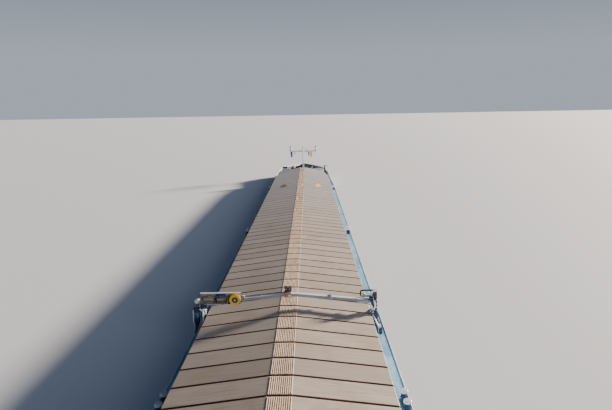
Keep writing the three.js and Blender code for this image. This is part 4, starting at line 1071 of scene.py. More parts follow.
def crane_leg():
    """Port leg: a boxed foot over its wheels, a square post for the beam's stem, its brace and gussets."""
    y, half = CRANE_RAIL_Y, 0.12
    block((-0.4, y - half, FOOT_LOW), (2.7, y + half, FOOT_TOP))
    pick("edges", lambda at, d: abs(d.y) > 0.9 and at.z > FOOT_TOP - 0.01)
    bpy.ops.mesh.bevel(offset=0.06 * SCALE, segments=4, affect="EDGES")
    foot = finished(NAVY, 0.012)
    for x in CRANE_WHEELS.values():
        cut_out(foot, plate((x - 0.21, y - 0.085, 2.2), (x + 0.21, y + 0.085, AXLE_HIGH + 0.21), NAVY, 0))
    parts = [foot]
    for x in CRANE_WHEELS.values():
        for side in (1, -1):
            cap = [(0, 0.03), (0.055, 0.03), (0.07, 0.018), (0.07, 0), (0, 0)]
            parts.append(lathed(cap, (x, y + side * half, AXLE_HIGH), (0, side, 0), ZINC))
        parts.append(rod((x, y - half, AXLE_HIGH), (x, y + half, AXLE_HIGH), 0.034, ZINC))
    for x in (0.45, 0.95, 1.45, 1.95):
        for side in (1, -1):
            face = y + side * half
            parts.append(plate((x - 0.012, face - 0.014, FOOT_LOW + 0.02),
                               (x + 0.012, face + 0.014, FOOT_TOP - 0.05), NAVY, 0.003))
    for low, high in (((-0.09, y - 0.09, FOOT_TOP - 0.003), (0.09, y + 0.09, POST_TOP)),
                      ((-0.125, y - 0.115, POST_TOP - 0.06), (0.125, y + 0.115, POST_TOP - 0.02)),
                      ((-0.17, y - 0.115, FOOT_TOP), (0.17, y + 0.115, FOOT_TOP + 0.03))):
        stem = plate(low, high, NAVY, 0.01)
        well = [y - STEM_WELL, y + STEM_WELL]
        parts.append(cut_out(stem,
                             plate((-STEM_WELL, well[0], FOOT_TOP + 0.04), (STEM_WELL, well[1], 6), NAVY, 0)))
    parts += [
        *[gusset((side * 0.09, y, FOOT_TOP), side * 0.2, 0.3, NAVY) for side in (1, -1)],
        *bolts([(x, y + dy, FOOT_TOP + 0.03) for x in (-0.14, 0.14) for dy in (-0.09, 0.09)], UP, 0.035),
        pipe([(2.0, y, FOOT_TOP - 0.02), (0.05, y, POST_TOP - 0.15)], 0.04, WHITE),
        pipe([(2.3, y - 0.05, FOOT_TOP - 0.02), (0.05, y - 0.05, POST_TOP - 0.35)], 0.022, GREY),
        plate((1.86, y - 0.07, FOOT_TOP - 0.01), (2.42, y + 0.07, FOOT_TOP + 0.03), WHITE, 0.008),
    ]
    return parts


def crane_cabinet():
    """Control cabinet on the outboard side of the port post, with its capped tank, forked pipe and lamp."""
    block((-0.2, 4.27, 3.66), (0.3, 4.58, 4.57))
    pick("verts", lambda at, n: at.z < 4)
    grow((1, 0.6, 1), (0, 4.5, 3.66))
    parts = [
        finished(NAVY, 0.025),
        plate((-0.15, 4.575, 3.95), (0.25, 4.592, 4.49), NAVY, 0.008),
        plate((-0.225, 4.31, 4.12), (-0.19, 4.42, 4.36), TEAL, 0.01),
        pipe([(-0.21, 4.57, 4.5), (-0.21, 4.565, 3.9), (-0.21, 4.53, 3.68)], 0.018, WHITE, 0.05),
        *[rod((-0.15, 4.592, z), (-0.15, 4.592, z + 0.09), 0.012, ZINC, 8) for z in (3.82, 4.3)],
        handle((0.2, 4.59, 4.02), (0.2, 4.59, 4.16), (0, 0.03, 0), 0.008, ZINC, 0.02),
        *louvres((-0.215, 4.4, 3.8), (-0.195, 4.53, 4.06), 6, NAVY),
    ]
    tank = [(0, 0), (0.125, 0), (0.125, 0.23), (0, 0.23)]
    parts.append(lathed(tank, (0.1, 4.4, POST_TOP - 0.045), UP, SLATE))
    cap = [(0, 0.225), (0.145, 0.225), (0.15, 0.24), (0.15, 0.335), (0.125, 0.375), (0.05, 0.4), (0, 0.405)]
    parts += [
        lathed(cap, (0.1, 4.4, POST_TOP - 0.045), UP, WHITE),
        pipe([(0, 4.29, POST_TOP - 0.04), (0, 4.27, POST_TOP + 0.1), (0, 4.29, POST_TOP + 0.2)], 0.024, WHITE,
             0.04),
        rod((0.1, 4.4, 4.93), (0.1, 4.4, 4.94), 0.03, ZINC, 6),
    ]
    x, y = -0.2, CRANE_RAIL_Y - 0.02
    for dy in (-0.13, 0.14):
        parts.append(pipe([(x, y + dy, FOOT_TOP - 0.02), (x, y + dy, 3.7), (x, y, 4.0), (x, y, 4.1)], 0.028,
                          WHITE, 0.12))
    parts += [
        pipe([(x, y, 3.98), (x, y, POST_TOP - 0.05)], 0.042, WHITE),
        ring((x, y, 4.04), UP, 0.042, 0.014, WHITE, 16),
        pipe([(x, 4.02, 4.5), (x, 3.965, 4.42), (x, 3.98, 4.27)], 0.028, WHITE, 0.05),
        pipe([(x, 3.98, 4.32), (x, y, 4.28)], 0.02, WHITE),
        plate((x - 0.02, y - 0.025, 4.3), (0, y + 0.025, 4.36), WHITE, 0.006),
        pipe([(x, y, 4.42), (x - 0.06, y + 0.03, 4.46), (x - 0.08, y + 0.14, 4.57)], 0.03, WHITE, 0.05),
        pipe([(x, y, 4.42), (x - 0.06, y - 0.04, 4.46), (x - 0.08, y - 0.12, 4.55)], 0.026, WHITE, 0.05),
        rod((-0.15, 4.42, 3.79), (-1.1, 4.31, 3.73), 0.1, NAVY, 16, end_radius=0.05, edge=0.01),
    ]
    lamp = [(0, 0), (0.05, 0), (0.05, 0.02), (0.042, 0.025), (0.042, 0.075), (0.03, 0.09), (0, 0.095)]
    parts.append(lathed(lamp, (-0.2, 4.5, 4.3), ASTERN, AMBER_LENS, 16))
    return parts


def starboard_gear():
    """What the starboard leg carries: forked white pipes, a motor, a trailing arm with its cable wheel."""
    y = -CRANE_RAIL_Y
    parts = []
    x = -0.31
    for line in ([(-3.85, 4.8), (-3.86, 4.7), (-3.97, 4.42)], [(-4.04, 4.88), (-4.1, 4.61), (-4.0, 4.36)]):
        parts.append(pipe([(x, py, pz) for py, pz in line], 0.036, WHITE, 0.1))
    parts += [
        plate((x - 0.07, -4.05, 4.26), (x + 0.04, -3.94, 4.4), NAVY, 0.012),
        ring((x - 0.075, -3.985, 4.33), AHEAD, 0.035, 0.013, WHITE, 20),
        plate((x - 0.04, -4.18, 4.3), (x + 0.03, -4.03, 4.38), NAVY, 0.01),
        plate((x, -4.18, 4.3), (-0.08, -4.06, 4.38), NAVY, 0.01),
    ]
    lens = [(0, 0), (0.05, 0), (0.05, 0.05), (0.035, 0.07), (0, 0.075)]
    parts += [
        lathed(lens, (-0.1, y - 0.02, 4.5), ASTERN, CLEAR_LENS, 16),
        plate((-0.42, -4.22, 4.03), (-0.12, -4.06, 4.34), NAVY, 0.02),
    ]
    motor = [(0, 0), (0.085, 0), (0.085, 0.03), (0.075, 0.035), (0.075, 0.25), (0.085, 0.255), (0.085, 0.3),
             (0, 0.33)]
    parts += [
        lathed(motor, (-0.25, y - 0.09, 3.86), ASTERN, NAVY),
        *[ring((-0.32 - 0.03 * k, y - 0.09, 3.86), AHEAD, 0.078, 0.006, NAVY, 20) for k in range(6)],
    ]
    arm = [(-0.36, -3.98, 4.2), (-0.75, -4.19, 3.8), (-1.3, -4.19, 3.8)]
    parts += [
        pipe(arm, 0.038, WHITE, 0.1),
        plate((-0.4, -4.12, 4.06), (-0.3, -3.96, 4.14), NAVY, 0.01),
        pipe([(-0.1, y - 0.1, 3.97), (-0.7, y - 0.17, 3.72), (-1.3, y - 0.13, 3.78)], 0.024, GREY, 0.1),
        plate((-1.45, -4.3, 3.67), (-1.2, -4.12, 3.7), TEAL, 0.006),
    ]
    rim = [(0.02, 0), (0.05, 0), (0.06, 0.012), (0.1, 0.012), (0.12, 0), (0.14, 0.008), (0.11, 0.07),
           (0.14, 0.132)]
    rim += [(0.12, 0.14), (0.1, 0.128), (0.06, 0.128), (0.05, 0.14), (0.02, 0.14), (0.02, 0)]
    parts += [
        lathed(rim, (-1.32, y - 0.17, 3.83), ABEAM, NAVY, 28),
        plate((0.5, y - 0.1, FOOT_TOP), (0.95, y + 0.1, FOOT_TOP + 0.2), SKY, 0.015),
        plate((0.48, y - 0.115, FOOT_TOP + 0.2), (0.97, y + 0.115, FOOT_TOP + 0.225), NAVY, 0.008),
    ]
    return parts


def crane_wheel():
    """Cast wheel to port at x 0: a rim with a bright tread, a dished web and a bored hub."""
    half = 0.035
    outline = [(0.041, -half), (0.075, -half), (0.085, -0.016), (0.12, -0.012), (0.13, -half + 0.004),
               (0.152, -half), (0.16, -half + 0.008), (0.16, half - 0.008), (0.152, half),
               (0.13, half - 0.004), (0.12, 0.012), (0.085, 0.016), (0.075, half), (0.041, half),
               (0.041, -half)]
    turned(outline, (0, CRANE_RAIL_Y, AXLE_HIGH), ABEAM, 32)
    coat(NAVY)
    paint(ZINC, lambda at, n: hypot(at.x, at.z - AXLE_HIGH) > 0.155 and abs(n.y) < 0.3)
    return finished(NAVY, smooth=30)


def crane_beam():
    """Box beam, bent down to both sides, white on top as a painted highlight and darker grey on its sides as
    painted shade, with its stems, sleeves, clamps and claws.
    """
    block((-BEAM_HALF, -BEAM_END, BEAM_UNDER), (BEAM_HALF, BEAM_END, BEAM_TOP))
    for y in (-WALK_HALF, WALK_HALF):
        cut((0, y, 0), ABEAM)
    pick("verts", lambda at, n: abs(at.y) > 1)
    push((0, 0, -beam_fall(BEAM_END)))
    cut((0, -4.04, 0), ABEAM)
    # Painted light: a white highlight on the top faces, and darker grey shade on the sides.
    coat(BEAM_SIDE_PAINTED_SHADE)
    paint(WHITE, tops)
    paint(BLACK, lambda at, n: at.y < -4.04)
    parts = [finished(BEAM_SIDE_PAINTED_SHADE, 0.014)]
    wide = BEAM_HALF + 0.03
    for side in (1, -1):
        y = side * CRANE_RAIL_Y
        top_z = BEAM_TOP - beam_fall(y) - 0.05
        parts.append(plate((-0.05, y - 0.05, FOOT_TOP + 0.08), (0.05, y + 0.05, top_z), ZINC, 0.006))
        low, high = (3.9, BEAM_END + 0.02) if side > 0 else (-4.04, -3.86)
        parts.append(plate((-wide, low, POST_TOP + 0.01), (wide, high, POST_TOP + 0.33), NAVY, 0.02))
        corners = [(x, (low + high) / 2 + dy, POST_TOP + 0.33) for x in (-0.11, 0.11) for dy in (-0.06, 0.06)]
        parts += bolts(corners, UP, 0.035)
        low, high = sorted((side * 3.25, side * 3.9))
        fall = beam_fall(3.6)
        parts.append(plate((-0.142, low, BEAM_UNDER - fall - 0.04), (0.142, high, BEAM_UNDER - fall + 0.08),
                           GREY, 0.02))
        y = side * 3.98
        parts.append(pipe([(-0.205, y, 4.8), (-0.205, y, 3.76), (-0.185, y, 3.73)], 0.02, NAVY, 0.03))
        for low, high, half, color in (((-0.235, 3.74), (-0.18, 4.15), 0.05, RUST),
                                       ((-0.235, 4.7), (-wide, 4.8), 0.035, NAVY)):
            parts.append(plate((low[0], y - half, low[1]), (high[0], y + half, high[1]), color, 0.006))
    for y in (-2.0, 2.16):
        low, high = BEAM_UNDER - beam_fall(y) - 0.05, BEAM_TOP - beam_fall(y) + 0.05
        for shift in (-0.036, 0.036):
            ends = y + shift - 0.024, y + shift + 0.024
            parts.append(plate((-wide, ends[0], low), (wide, ends[1], high), TAUPE if y > 0 else GREY, 0.008))
        parts += [
            *bolts([(x, y + 0.06, z) for x in (-0.145, 0.145) for z in (low + 0.04, high - 0.04)], ABEAM,
                   0.026),
            handle((-0.05, y, high - 0.02), (0.05, y, high - 0.02), (0, 0, 0.07), 0.014, ZINC, 0.04),
        ]
    parts.append(plate((-wide, -0.13, BEAM_UNDER - 0.03), (wide, 0.23, BEAM_TOP + 0.02), PALE_RUST, 0.02))
    heads = [(-wide, y, z) for y in (-0.08, 0.05, 0.18) for z in (BEAM_UNDER + 0.01, BEAM_TOP - 0.03)]
    parts += [
        *bolts(heads, ASTERN, 0.03),
        plate((-wide - 0.015, -0.1, BEAM_UNDER + 0.03), (-wide + 0.005, 0.02, BEAM_TOP - 0.03), CREAM, 0.006),
    ]
    line = [(y, BEAM_TOP - beam_fall(y) + 0.014) for y in (3.8, WALK_HALF, 0.25)]
    parts.append(pipe([(0.1, y, z) for y, z in line], 0.014, RUBBER, 0.2))
    for y in (0.8, 1.3, 1.9, 2.5, 3.1):
        top_z = BEAM_TOP - beam_fall(y)
        parts.append(plate((0.075, y - 0.02, top_z), (0.125, y + 0.02, top_z + 0.035), ZINC, 0.004))
    return parts


def control_box():
    """Black valve box on the fore side of the beam's middle, with its lid, catches and hose glands."""
    aft, top_z = BEAM_HALF + 0.035, BEAM_TOP + 0.2
    parts = [
        plate((aft, -0.12, BEAM_TOP - 0.12), (aft + 0.27, 0.2, top_z), BLACK, 0.02),
        plate((aft - 0.005, -0.13, top_z - 0.05), (aft + 0.28, 0.21, top_z + 0.015), BLACK, 0.012),
    ]
    grip = (aft + 0.08, 0.04, top_z + 0.01), (aft + 0.19, 0.04, top_z + 0.01)
    parts.append(handle(*grip, (0, 0, 0.01), 0.008, ZINC, 0.01))
    for y in (-0.05, 0.13):
        parts.append(plate((aft - 0.017, y - 0.02, top_z - 0.09), (aft - 0.008, y + 0.02, top_z - 0.02), ZINC,
                           0.003))
    for k in range(3):
        x = aft + 0.06 + 0.07 * k
        parts.append(rod((x, 0.2, BEAM_TOP - 0.02), (x, 0.25, BEAM_TOP - 0.02), 0.018, ZINC, 8))
    return parts


def power_pack():
    """Open tray behind the beam's port end, with a white edge: a motor, a pump, a tank and hoses."""
    back, low, aft = -BEAM_HALF - 0.033, 4.9, -0.58
    inner, outer = 2.85, 4.18
    parts = [
        plate((back - 0.04, 2.3, low), (back, outer, low + 0.44), TAUPE, 0.01),
        # Painted shade: the black strip below the tray stands for the dark shadow under the pack.
        plate((back - 0.03, 2.3, low - 0.14), (back, outer - 0.2, low + 0.01), BLACK, 0.008),
        plate((back - 0.075, 2.28, low + 0.41), (back, outer + 0.01, low + 0.45), WHITE, 0.008),
    ]
    foot = outer - 0.22
    parts += [
        plate((aft, inner, low), (back, foot, low + 0.03), TAUPE, 0.008),
        plate((aft - 0.012, inner, low), (aft + 0.012, foot, low + 0.035), TAUPE, 0.006),
    ]
    for y in (inner, outer - 0.03):
        block((aft, y, low), (back, y + 0.03, low + 0.38))
        pick("verts", lambda at, n: at.x < aft + 0.01 and at.z > low + 0.2)
        push((0, 0, -0.3))
        if y > inner:
            pick("verts", lambda at, n: at.z < low + 0.01)
            push((0, foot - outer, 0))
        parts.append(finished(TAUPE, 0.006))
    motor = [(0, 0), (0.1, 0), (0.13, 0.02), (0.13, 0.06), (0.115, 0.07), (0.115, 0.4), (0.13, 0.41),
             (0.13, 0.46), (0.08, 0.5), (0, 0.5)]
    parts += [
        lathed(motor, (-0.35, 3.52, low + 0.18), ABEAM, TAUPE, 24),
        *[ring((-0.35, 3.62 + 0.04 * k, low + 0.18), ABEAM, 0.12, 0.007, TAUPE, 24) for k in range(8)],
        plate((-0.42, 3.6, low + 0.29), (-0.28, 3.8, low + 0.34), TAUPE, 0.01),
        plate((-0.27, 2.98, low + 0.27), (-0.2, 3.42, low + 0.4), DEEP_BLUE, 0.012),
        plate((-0.47, 3.55, low + 0.03), (-0.23, 3.9, low + 0.07), TAUPE, 0.006),
    ]
    pump = [(0, 0), (0.07, 0), (0.07, 0.08), (0.05, 0.09), (0.05, 0.16), (0, 0.16)]
    parts += [
        lathed(pump, (-0.35, 3.52, low + 0.18), (0, -1, 0), BLACK, 16),
        plate((-0.42, 3.12, low + 0.03), (-0.2, 3.38, low + 0.22), TAUPE, 0.02),
        lathed([(0, 0), (0.05, 0), (0.05, 0.03), (0.035, 0.04), (0, 0.04)], (-0.34, 3.2, low + 0.22), UP,
               ZINC, 16),
        pipe([(-0.42, 3.15, low + 0.1), (-0.5, 3.15, low + 0.1), (-0.5, 3.38, low + 0.12),
              (-0.4, 3.4, low + 0.15)], 0.018, RUBBER, 0.06),
        pipe([(-0.36, 3.3, low + 0.23), (-0.36, 3.3, low + 0.36), (-0.36, 3.43, low + 0.36),
              (-0.35, 3.47, low + 0.24)], 0.016, RUBBER, 0.08),
        pipe([(-0.24, 3.14, low + 0.2), (-0.24, 2.9, low + 0.26), (-0.22, 2.62, low + 0.3)], 0.016, RUBBER,
             0.08),
    ]
    x, y, z = REEL
    parts += [
        lathed([(0, 0), (0.08, 0), (0.08, 0.24), (0.06, 0.262), (0, 0.262)], (back - 0.03, y, z), ASTERN,
               GREY),
        lathed([(0, 0), (0.034, 0), (0.034, 0.12), (0.05, 0.125), (0.05, 0.15), (0, 0.155)], (x + 0.02, y, z),
               ASTERN, GREY),
    ]
    return parts


def hose_reel():
    """Yellow hose reel about an axle along X: two pressed rims, and the hose wound between them."""
    x, y, z = REEL
    rim, waist, half = 0.26, 0.17, 0.1
    parts = []
    for side in (1, -1):
        outline = [(0.1, 0), (0.11, 0.008), (0.17, 0.008), (0.19, 0.0), (0.23, 0.0), (0.25, 0.01),
                   (rim, 0.006), (rim, -0.016), (0.1, -0.016), (0.1, 0)]
        parts.append(lathed(outline, (x + side * (half - 0.012), y, z), (side, 0, 0), YELLOW, 36))
    hub = [(0.041, -half), (0.14, -half), (0.15, -half + 0.02), (0.15, half - 0.02), (0.14, half),
           (0.041, half), (0.041, -half)]
    parts += [
        lathed(hub, (x, y, z), AHEAD, BLACK, 28),
        *[ring((x - 0.06 + 0.03 * k, y, z), AHEAD, waist + 0.012 * (k % 2), 0.017, RUBBER, 32)
          for k in range(5)],
    ]
    turns = [radians(72 * k) for k in range(5)]
    parts += bolts([(x - half, y + 0.075 * cos(a), z + 0.075 * sin(a)) for a in turns], ASTERN, 0.022)
    return parts


def crane_guard():
    """Dark tower on the beam's starboard end, capped white, with a tubular loop over the covers."""
    x = 0.22
    aft = BEAM_HALF + 0.033
    parts = [
        plate((aft, -4.24, 4.5), (0.3, -4.03, 5.16), BLACK, 0.02),
        plate((aft - 0.008, -4.25, 5.14), (0.308, -4.02, 5.26), WHITE, 0.012),
        handle((x, -4.1, 4.92), (x, -4.1, 5.21), (0, 0.65, 0), 0.04, BLACK, 0.1),
        pipe([(x - 0.03, -3.78, 5.19), (x - 0.03, -4.03, 4.9)], 0.022, WHITE),
        *bolts([(aft, y, z) for y in (-4.18, -4.07) for z in (4.7, 4.9, 5.1)], ASTERN, 0.026),
    ]
    return parts


def hatch_crane():
    """The crane's pieces, on their bodies."""
    place = (CRANE_X, 0, 0)
    leg = joined("leg", crane_leg())
    port = [leg, *crane_cabinet()]
    starboard = [copied(leg, flip=True), *starboard_gear()]
    beam = crane_beam()
    for name, parts, body, slot in (
        ("crane_leg_port", port, "crane_legs", "white_paint"),
        ("crane_leg_starboard", starboard, "crane_legs", "white_paint"),
        ("crane_beam", beam, "crane_beam", "grey_paint"),
        ("crane_control_box", control_box(), "crane_beam", "black_steel"),
        ("crane_power_pack", power_pack(), "crane_beam", "grey_paint"),
        ("crane_reel", hose_reel(), "crane_reel", "yellow_paint"),
        ("crane_guard", crane_guard(), "crane_beam", "black_steel"),
    ):
        in_place_of(name, parts, body, slot, place)
    wheel = crane_wheel()
    for name, side in SIDES:
        for end, x in CRANE_WHEELS.items():
            node_name = "crane_wheel_%s_%s" % (name, end)
            turning = [copied(wheel, flip=side < 0)]
            in_place_of(node_name, turning, node_name, "black_steel", place=(CRANE_X + x, 0, 0))
    scrap(wheel)


# Foredeck

BOW_RAIL = (
    (29.2, 4.69, 3.14),
    (35.2, 4.55, 3.2),
    (HOLD_FORE, 4.35, 3.53),
    (43.2, 4.08, 3.76),
    (45.2, 3.78, 3.9),
    (47.2, 3.18, 3.97),
    (49.2, 2.2, 4.03),
    (50.3, 1.5, 4.07),
    (51.6, 0.65, 4.1),
    (52.15, 0.3, 4.115),
    (52.37, 0.13, 4.12),
    (52.44, 0.0, 4.12),
)
STERN_RAIL = (
    (-52.29, 1.4, 4.0),
    (-52.1, 2.5, 4.0),
    (-51.4, 3.3, 4.0),
    (-50.3, 4.0, 4.0),
    (-48.5, 4.4, 3.9),
    (-47.0, 4.6, 3.3),
    (-46.0, 4.635, 3.18),
    (-43.5, 4.69, 3.14),
)


def bulwark(table, deck, from_fore=False):
    """Plate wall on the deck's edge, all round one end, with a rolled cap."""
    half = [(x, fair(table, x, 1), fair(table, x, 2)) for x in stepped(table, STEPS)]
    if from_fore:
        half.reverse()
    line = half + [(x, -y, z) for x, y, z in reversed(half) if y > 0]
    bent([[(x, y, deck(x) + 0.003 + (z - deck(x)) * level) for level in (0, 0.5, 1)] for x, y, z in line])
    wall = finished(WHITE, smooth=50)
    applied(wall, "SOLIDIFY", thickness=0.07 * SCALE, offset=1 if from_fore else -1)
    for material in (NAVY, GREY, PORT_BULWARK_SHADE_GREY):
        wall.data.materials.append(material)
    # Painted light and shade on the inner faces: navy on their upper half near the middle line and dark grey
    # to port are painted shade; white to starboard within 45.6 m of midships is painted light, grey beyond.
    for face in wall.data.polygons:
        x, y, z = face.center / SCALE
        inward = face.normal.y * y < 0 if abs(face.normal.y) > 0.05 else face.normal.x * x < 0
        if abs(face.normal.z) < 0.7 and inward:
            upper = z > (deck(x) + fair(table, x, 2)) / 2
            if upper and abs(y) < 1.7:
                face.material_index = 1
            elif y > 0:
                face.material_index = 3
            else:
                face.material_index = 0 if abs(x) < 45.6 else 2
    cap = pipe([(x, y - copysign(0.035, y) if abs(y) > 0.1 else y, z) for x, y, z in line], 0.05, WHITE)
    return [wall, cap]


def knees(table, deck, places, tall):
    """Triangular stays inside a bulwark, square to it."""
    parts = []
    knee = gusset((0, 0, 0), -0.28, tall, NAVY, axis=1)
    for x in places:
        turn = atan2(fair(table, x + 0.05, 1) - fair(table, x - 0.05, 1), 0.1)
        parts += both(copied(knee, (x, fair(table, x, 1) - 0.07, deck(x)), turn))
    scrap(knee)
    return parts


def bow_wall():
    """The bow bulwarks, with their knees and fairleads."""
    parts = bulwark(BOW_RAIL, deck_at_rail)
    parts += knees(BOW_RAIL, deck_at_rail, (41.6, 43.0, 45.6, 47.0, 49.5, 50.6), 0.52)
    for x in (45.0, 49.0):
        turn = atan2(fair(BOW_RAIL, x + 0.1, 1) - fair(BOW_RAIL, x - 0.1, 1), 0.2)
        lead = ring((0, 0, 0), ABEAM, 0.11, 0.035, NAVY)
        lead.data.transform(Matrix.Diagonal((1.5, 1.4, 1, 1)))
        parts += both(copied(lead, (x, fair(BOW_RAIL, x, 1) - 0.035, deck_at(x) + 0.35), turn))
        scrap(lead)
    carried("bow_bulwark_dressed", parts, "hull", "white_paint", "bow_bulwark_port", "bow_bulwark_starboard")


def deck_at_rail(x):
    """The height of the deck under the bow bulwark."""
    return DECK if x < BOW_STATIONS[0][0] else deck_at(x)


def chain(start, end, sag):
    """Anchor chain from one point to another, every second link turned."""
    start, end = Vector(start), Vector(end)
    long = 0.1
    count = int((end - start).length / long)
    link = ring((0, 0, 0), UP, 0.036, 0.013, SLATE, 12)
    link.data.transform(Matrix.Diagonal((1.75, 1, 1, 1)))
    parts = []
    for k in range(count + 1):
        t = k / count
        middle = start.lerp(end, t) - Vector((0, 0, sag * 4 * t * (1 - t)))
        way = (end - start).normalized() - Vector((0, 0, sag * 4 * (1 - 2 * t) / (end - start).length))
        lead = way.to_track_quat("X", "Z").to_matrix().to_4x4()
        roll = Matrix.Rotation(radians(90 * (k % 2)), 4, "X")
        one = copied(link)
        one.data.transform(Matrix.Translation(at(middle)) @ (lead @ roll))
        parts.append(one)
    scrap(link)
    return parts


def windlass():
    """Anchor windlass: motor and gearbox, with a gypsy, a brake drum and a warping head to each side."""
    x, z = 45.9, 3.292
    high = z + 0.42
    parts = [
        plate((x - 0.55, -0.95, z + 0.03), (x + 0.55, 0.95, z + 0.09), GREY, 0.012),
        *bolts([(x + dx, y, z + 0.09) for dx in (-0.5, 0.5) for y in (-0.85, -0.3, 0.3, 0.85)], UP, 0.05),
    ]
    block((x - 0.32, -0.25, z + 0.08), (x + 0.3, 0.25, z + 0.6))
    pick("faces", tops)
    inset(0.04)
    extrude((0, 0, 0.03))
    parts += [
        finished(GREY, 0.02),
        *bolts([(x + dx, y, z + 0.63) for dx in (-0.22, 0, 0.2) for y in (-0.17, 0.17)], UP, 0.04),
    ]
    motor = [(0, 0), (0.12, 0), (0.16, 0.03), (0.16, 0.1), (0.14, 0.11), (0.14, 0.5), (0.16, 0.51),
             (0.16, 0.55), (0, 0.55)]
    parts += [
        lathed(motor, (x - 0.75, 0, z + 0.34), AHEAD, NAVY, 24),
        *[ring((x - 0.6 + 0.045 * k, 0, z + 0.34), AHEAD, 0.145, 0.008, NAVY, 24) for k in range(8)],
        plate((x - 0.7, -0.12, z + 0.05), (x - 0.35, 0.12, z + 0.22), NAVY, 0.012),
        rod((x, -1.2, high), (x, 1.2, high), 0.055, ZINC, 16),
    ]
    half = []
    for y in (0.3, 0.86):
        half += [
            cheek(x, y, z + 0.08, z + 0.55, 0.36, 0.025, 0.36, 0.01),
            lathed(sleeve(0.056, 0.11, 0.05), (x, y, high), ABEAM, GREY),
        ]
    gypsy = [(0.06, -0.09), (0.26, -0.09), (0.28, -0.075), (0.27, -0.045), (0.2, -0.02), (0.2, 0.02),
             (0.27, 0.045), (0.28, 0.075), (0.26, 0.09), (0.06, 0.09), (0.06, -0.09)]
    half.append(lathed(gypsy, (x, 0.45, high), ABEAM, RUST, 28))
    lug = plate((x - 0.03, 0.38, high + 0.19), (x + 0.03, 0.52, high + 0.25), RUST, 0.01)
    half += [copied(lug, turn=radians(60 * k), axis="Y", about=(x, 0.45, high)) for k in range(6)]
    scrap(lug)
    half += [
        lathed(sleeve(0.06, 0.34, 0.05), (x, 0.72, high), ABEAM, SLATE, 32),
        *[ring((x, 0.72 + dy, high), ABEAM, 0.335, 0.012, GREY, 32) for dy in (-0.05, 0.05)],
    ]
    head = [(0.06, 0), (0.2, 0), (0.2, 0.02), (0.14, 0.06), (0.12, 0.12), (0.13, 0.19), (0.2, 0.235),
            (0.22, 0.25), (0.22, 0.27), (0.05, 0.28), (0.06, 0)]
    half += [
        lathed(head, (x, 0.89, high), ABEAM, GREY, 28),
        rod((x - 0.3, 0.72, z + 0.1), (x - 0.42, 0.72, z + 0.62), 0.018, ZINC, 10),
        hand_wheel((x - 0.43, 0.72, z + 0.66), (-0.22, 0, 1), 0.14, RED),
        *chain((x + 0.22, 0.45, high + 0.1), (46.35, 2.88, 3.4), 0.05),
    ]
    mouth = [(0.15, 0), (0.21, 0), (0.23, 0.03), (0.2, 0.07), (0.15, 0.07), (0.13, 0.03), (0.15, 0)]
    half.append(lathed(mouth, (46.32, 2.95, deck_at(46.32) - 0.01), (0, 0.25, 1), NAVY, 24))
    whole = joined("half", half)
    parts += both(whole)
    in_place_of("windlass", parts, "hull", "grey_paint")


def fore_hatch():
    """Store hatch: a coaming with a rolled rim, its lid with a handle, and dogs that hold it down."""
    low_z, high_z = 3.19, 3.72
    coaming = plate((41.5, -0.6, low_z), (42.7, 0.6, high_z), WHITE, 0.03)
    cut_out(coaming, plate((41.58, -0.52, 3.24), (42.62, 0.52, 3.8), WHITE, 0))
    parts = [coaming]
    for x in (41.8, 42.4):
        for side in (1, -1):
            parts.append(rod((x, side * 0.63, 3.48), (x, side * 0.63, 3.7), 0.014, ZINC, 8))
            ends = sorted((side * 0.59, side * 0.65))
            parts.append(plate((x - 0.03, ends[0], 3.46), (x + 0.03, ends[1], 3.5), ZINC, 0.004))
    in_place_of("fore_hatch", parts, "hull", "white_paint")
    block((41.42, -0.68, 3.723), (42.78, 0.68, 3.775))
    pick("edges", lambda at, d: abs(d.z) > 0.9)
    bpy.ops.mesh.bevel(offset=0.1 * SCALE, segments=5, affect="EDGES")
    pick("faces", tops)
    inset(0.12)
    extrude((0, 0, 0.015))
    lid = [
        finished(WHITE, 0.008),
        handle((41.55, -0.2, 3.77), (41.55, 0.2, 3.77), (0, 0, 0.07), 0.014, ZINC, 0.04),
        *[plate((42.6, y - 0.08, 3.77), (42.8, y + 0.08, 3.79), ZINC, 0.005) for y in (-0.4, 0.4)],
    ]
    in_place_of("fore_hatch_lid", lid, "fore_hatch_lid", "white_paint")


def lantern(place, lens, radius, tall):
    """Navigation lantern: a lens between a dark foot and hood. Its outlines are shares of its size."""
    shapes = (
        ([(0, 0), (1, 0), (1, 0.1), (0.85, 0.17), (0, 0.17)], BLACK),
        ([(0, 0.17), (0.8, 0.17), (0.8, 0.8), (0, 0.8)], lens),
        ([(0, 0.8), (1, 0.8), (1, 0.88), (0.6, 0.97), (0, 1)], BLACK),
    )
    parts = []
    for shape, color in shapes:
        parts.append(lathed([(r * radius, h * tall) for r, h in shape], place, UP, color, 24))
    return parts


def screen(x, y, z, radius, tall):
    """White half-round screen on the inner and aft side of a sidelight."""
    side = 1 if y > 0 else -1
    rows = []
    for a in (radians(95 + 15 * k) for k in range(13)):
        edge = x + radius * cos(a), y + side * radius * sin(a + pi)
        rows.append([(*edge, z + tall * level) for level in (0.15, 0.5, 0.82)])
    bent(rows)
    piece = finished(WHITE)
    return applied(piece, "SOLIDIFY", thickness=0.012 * SCALE, offset=0)


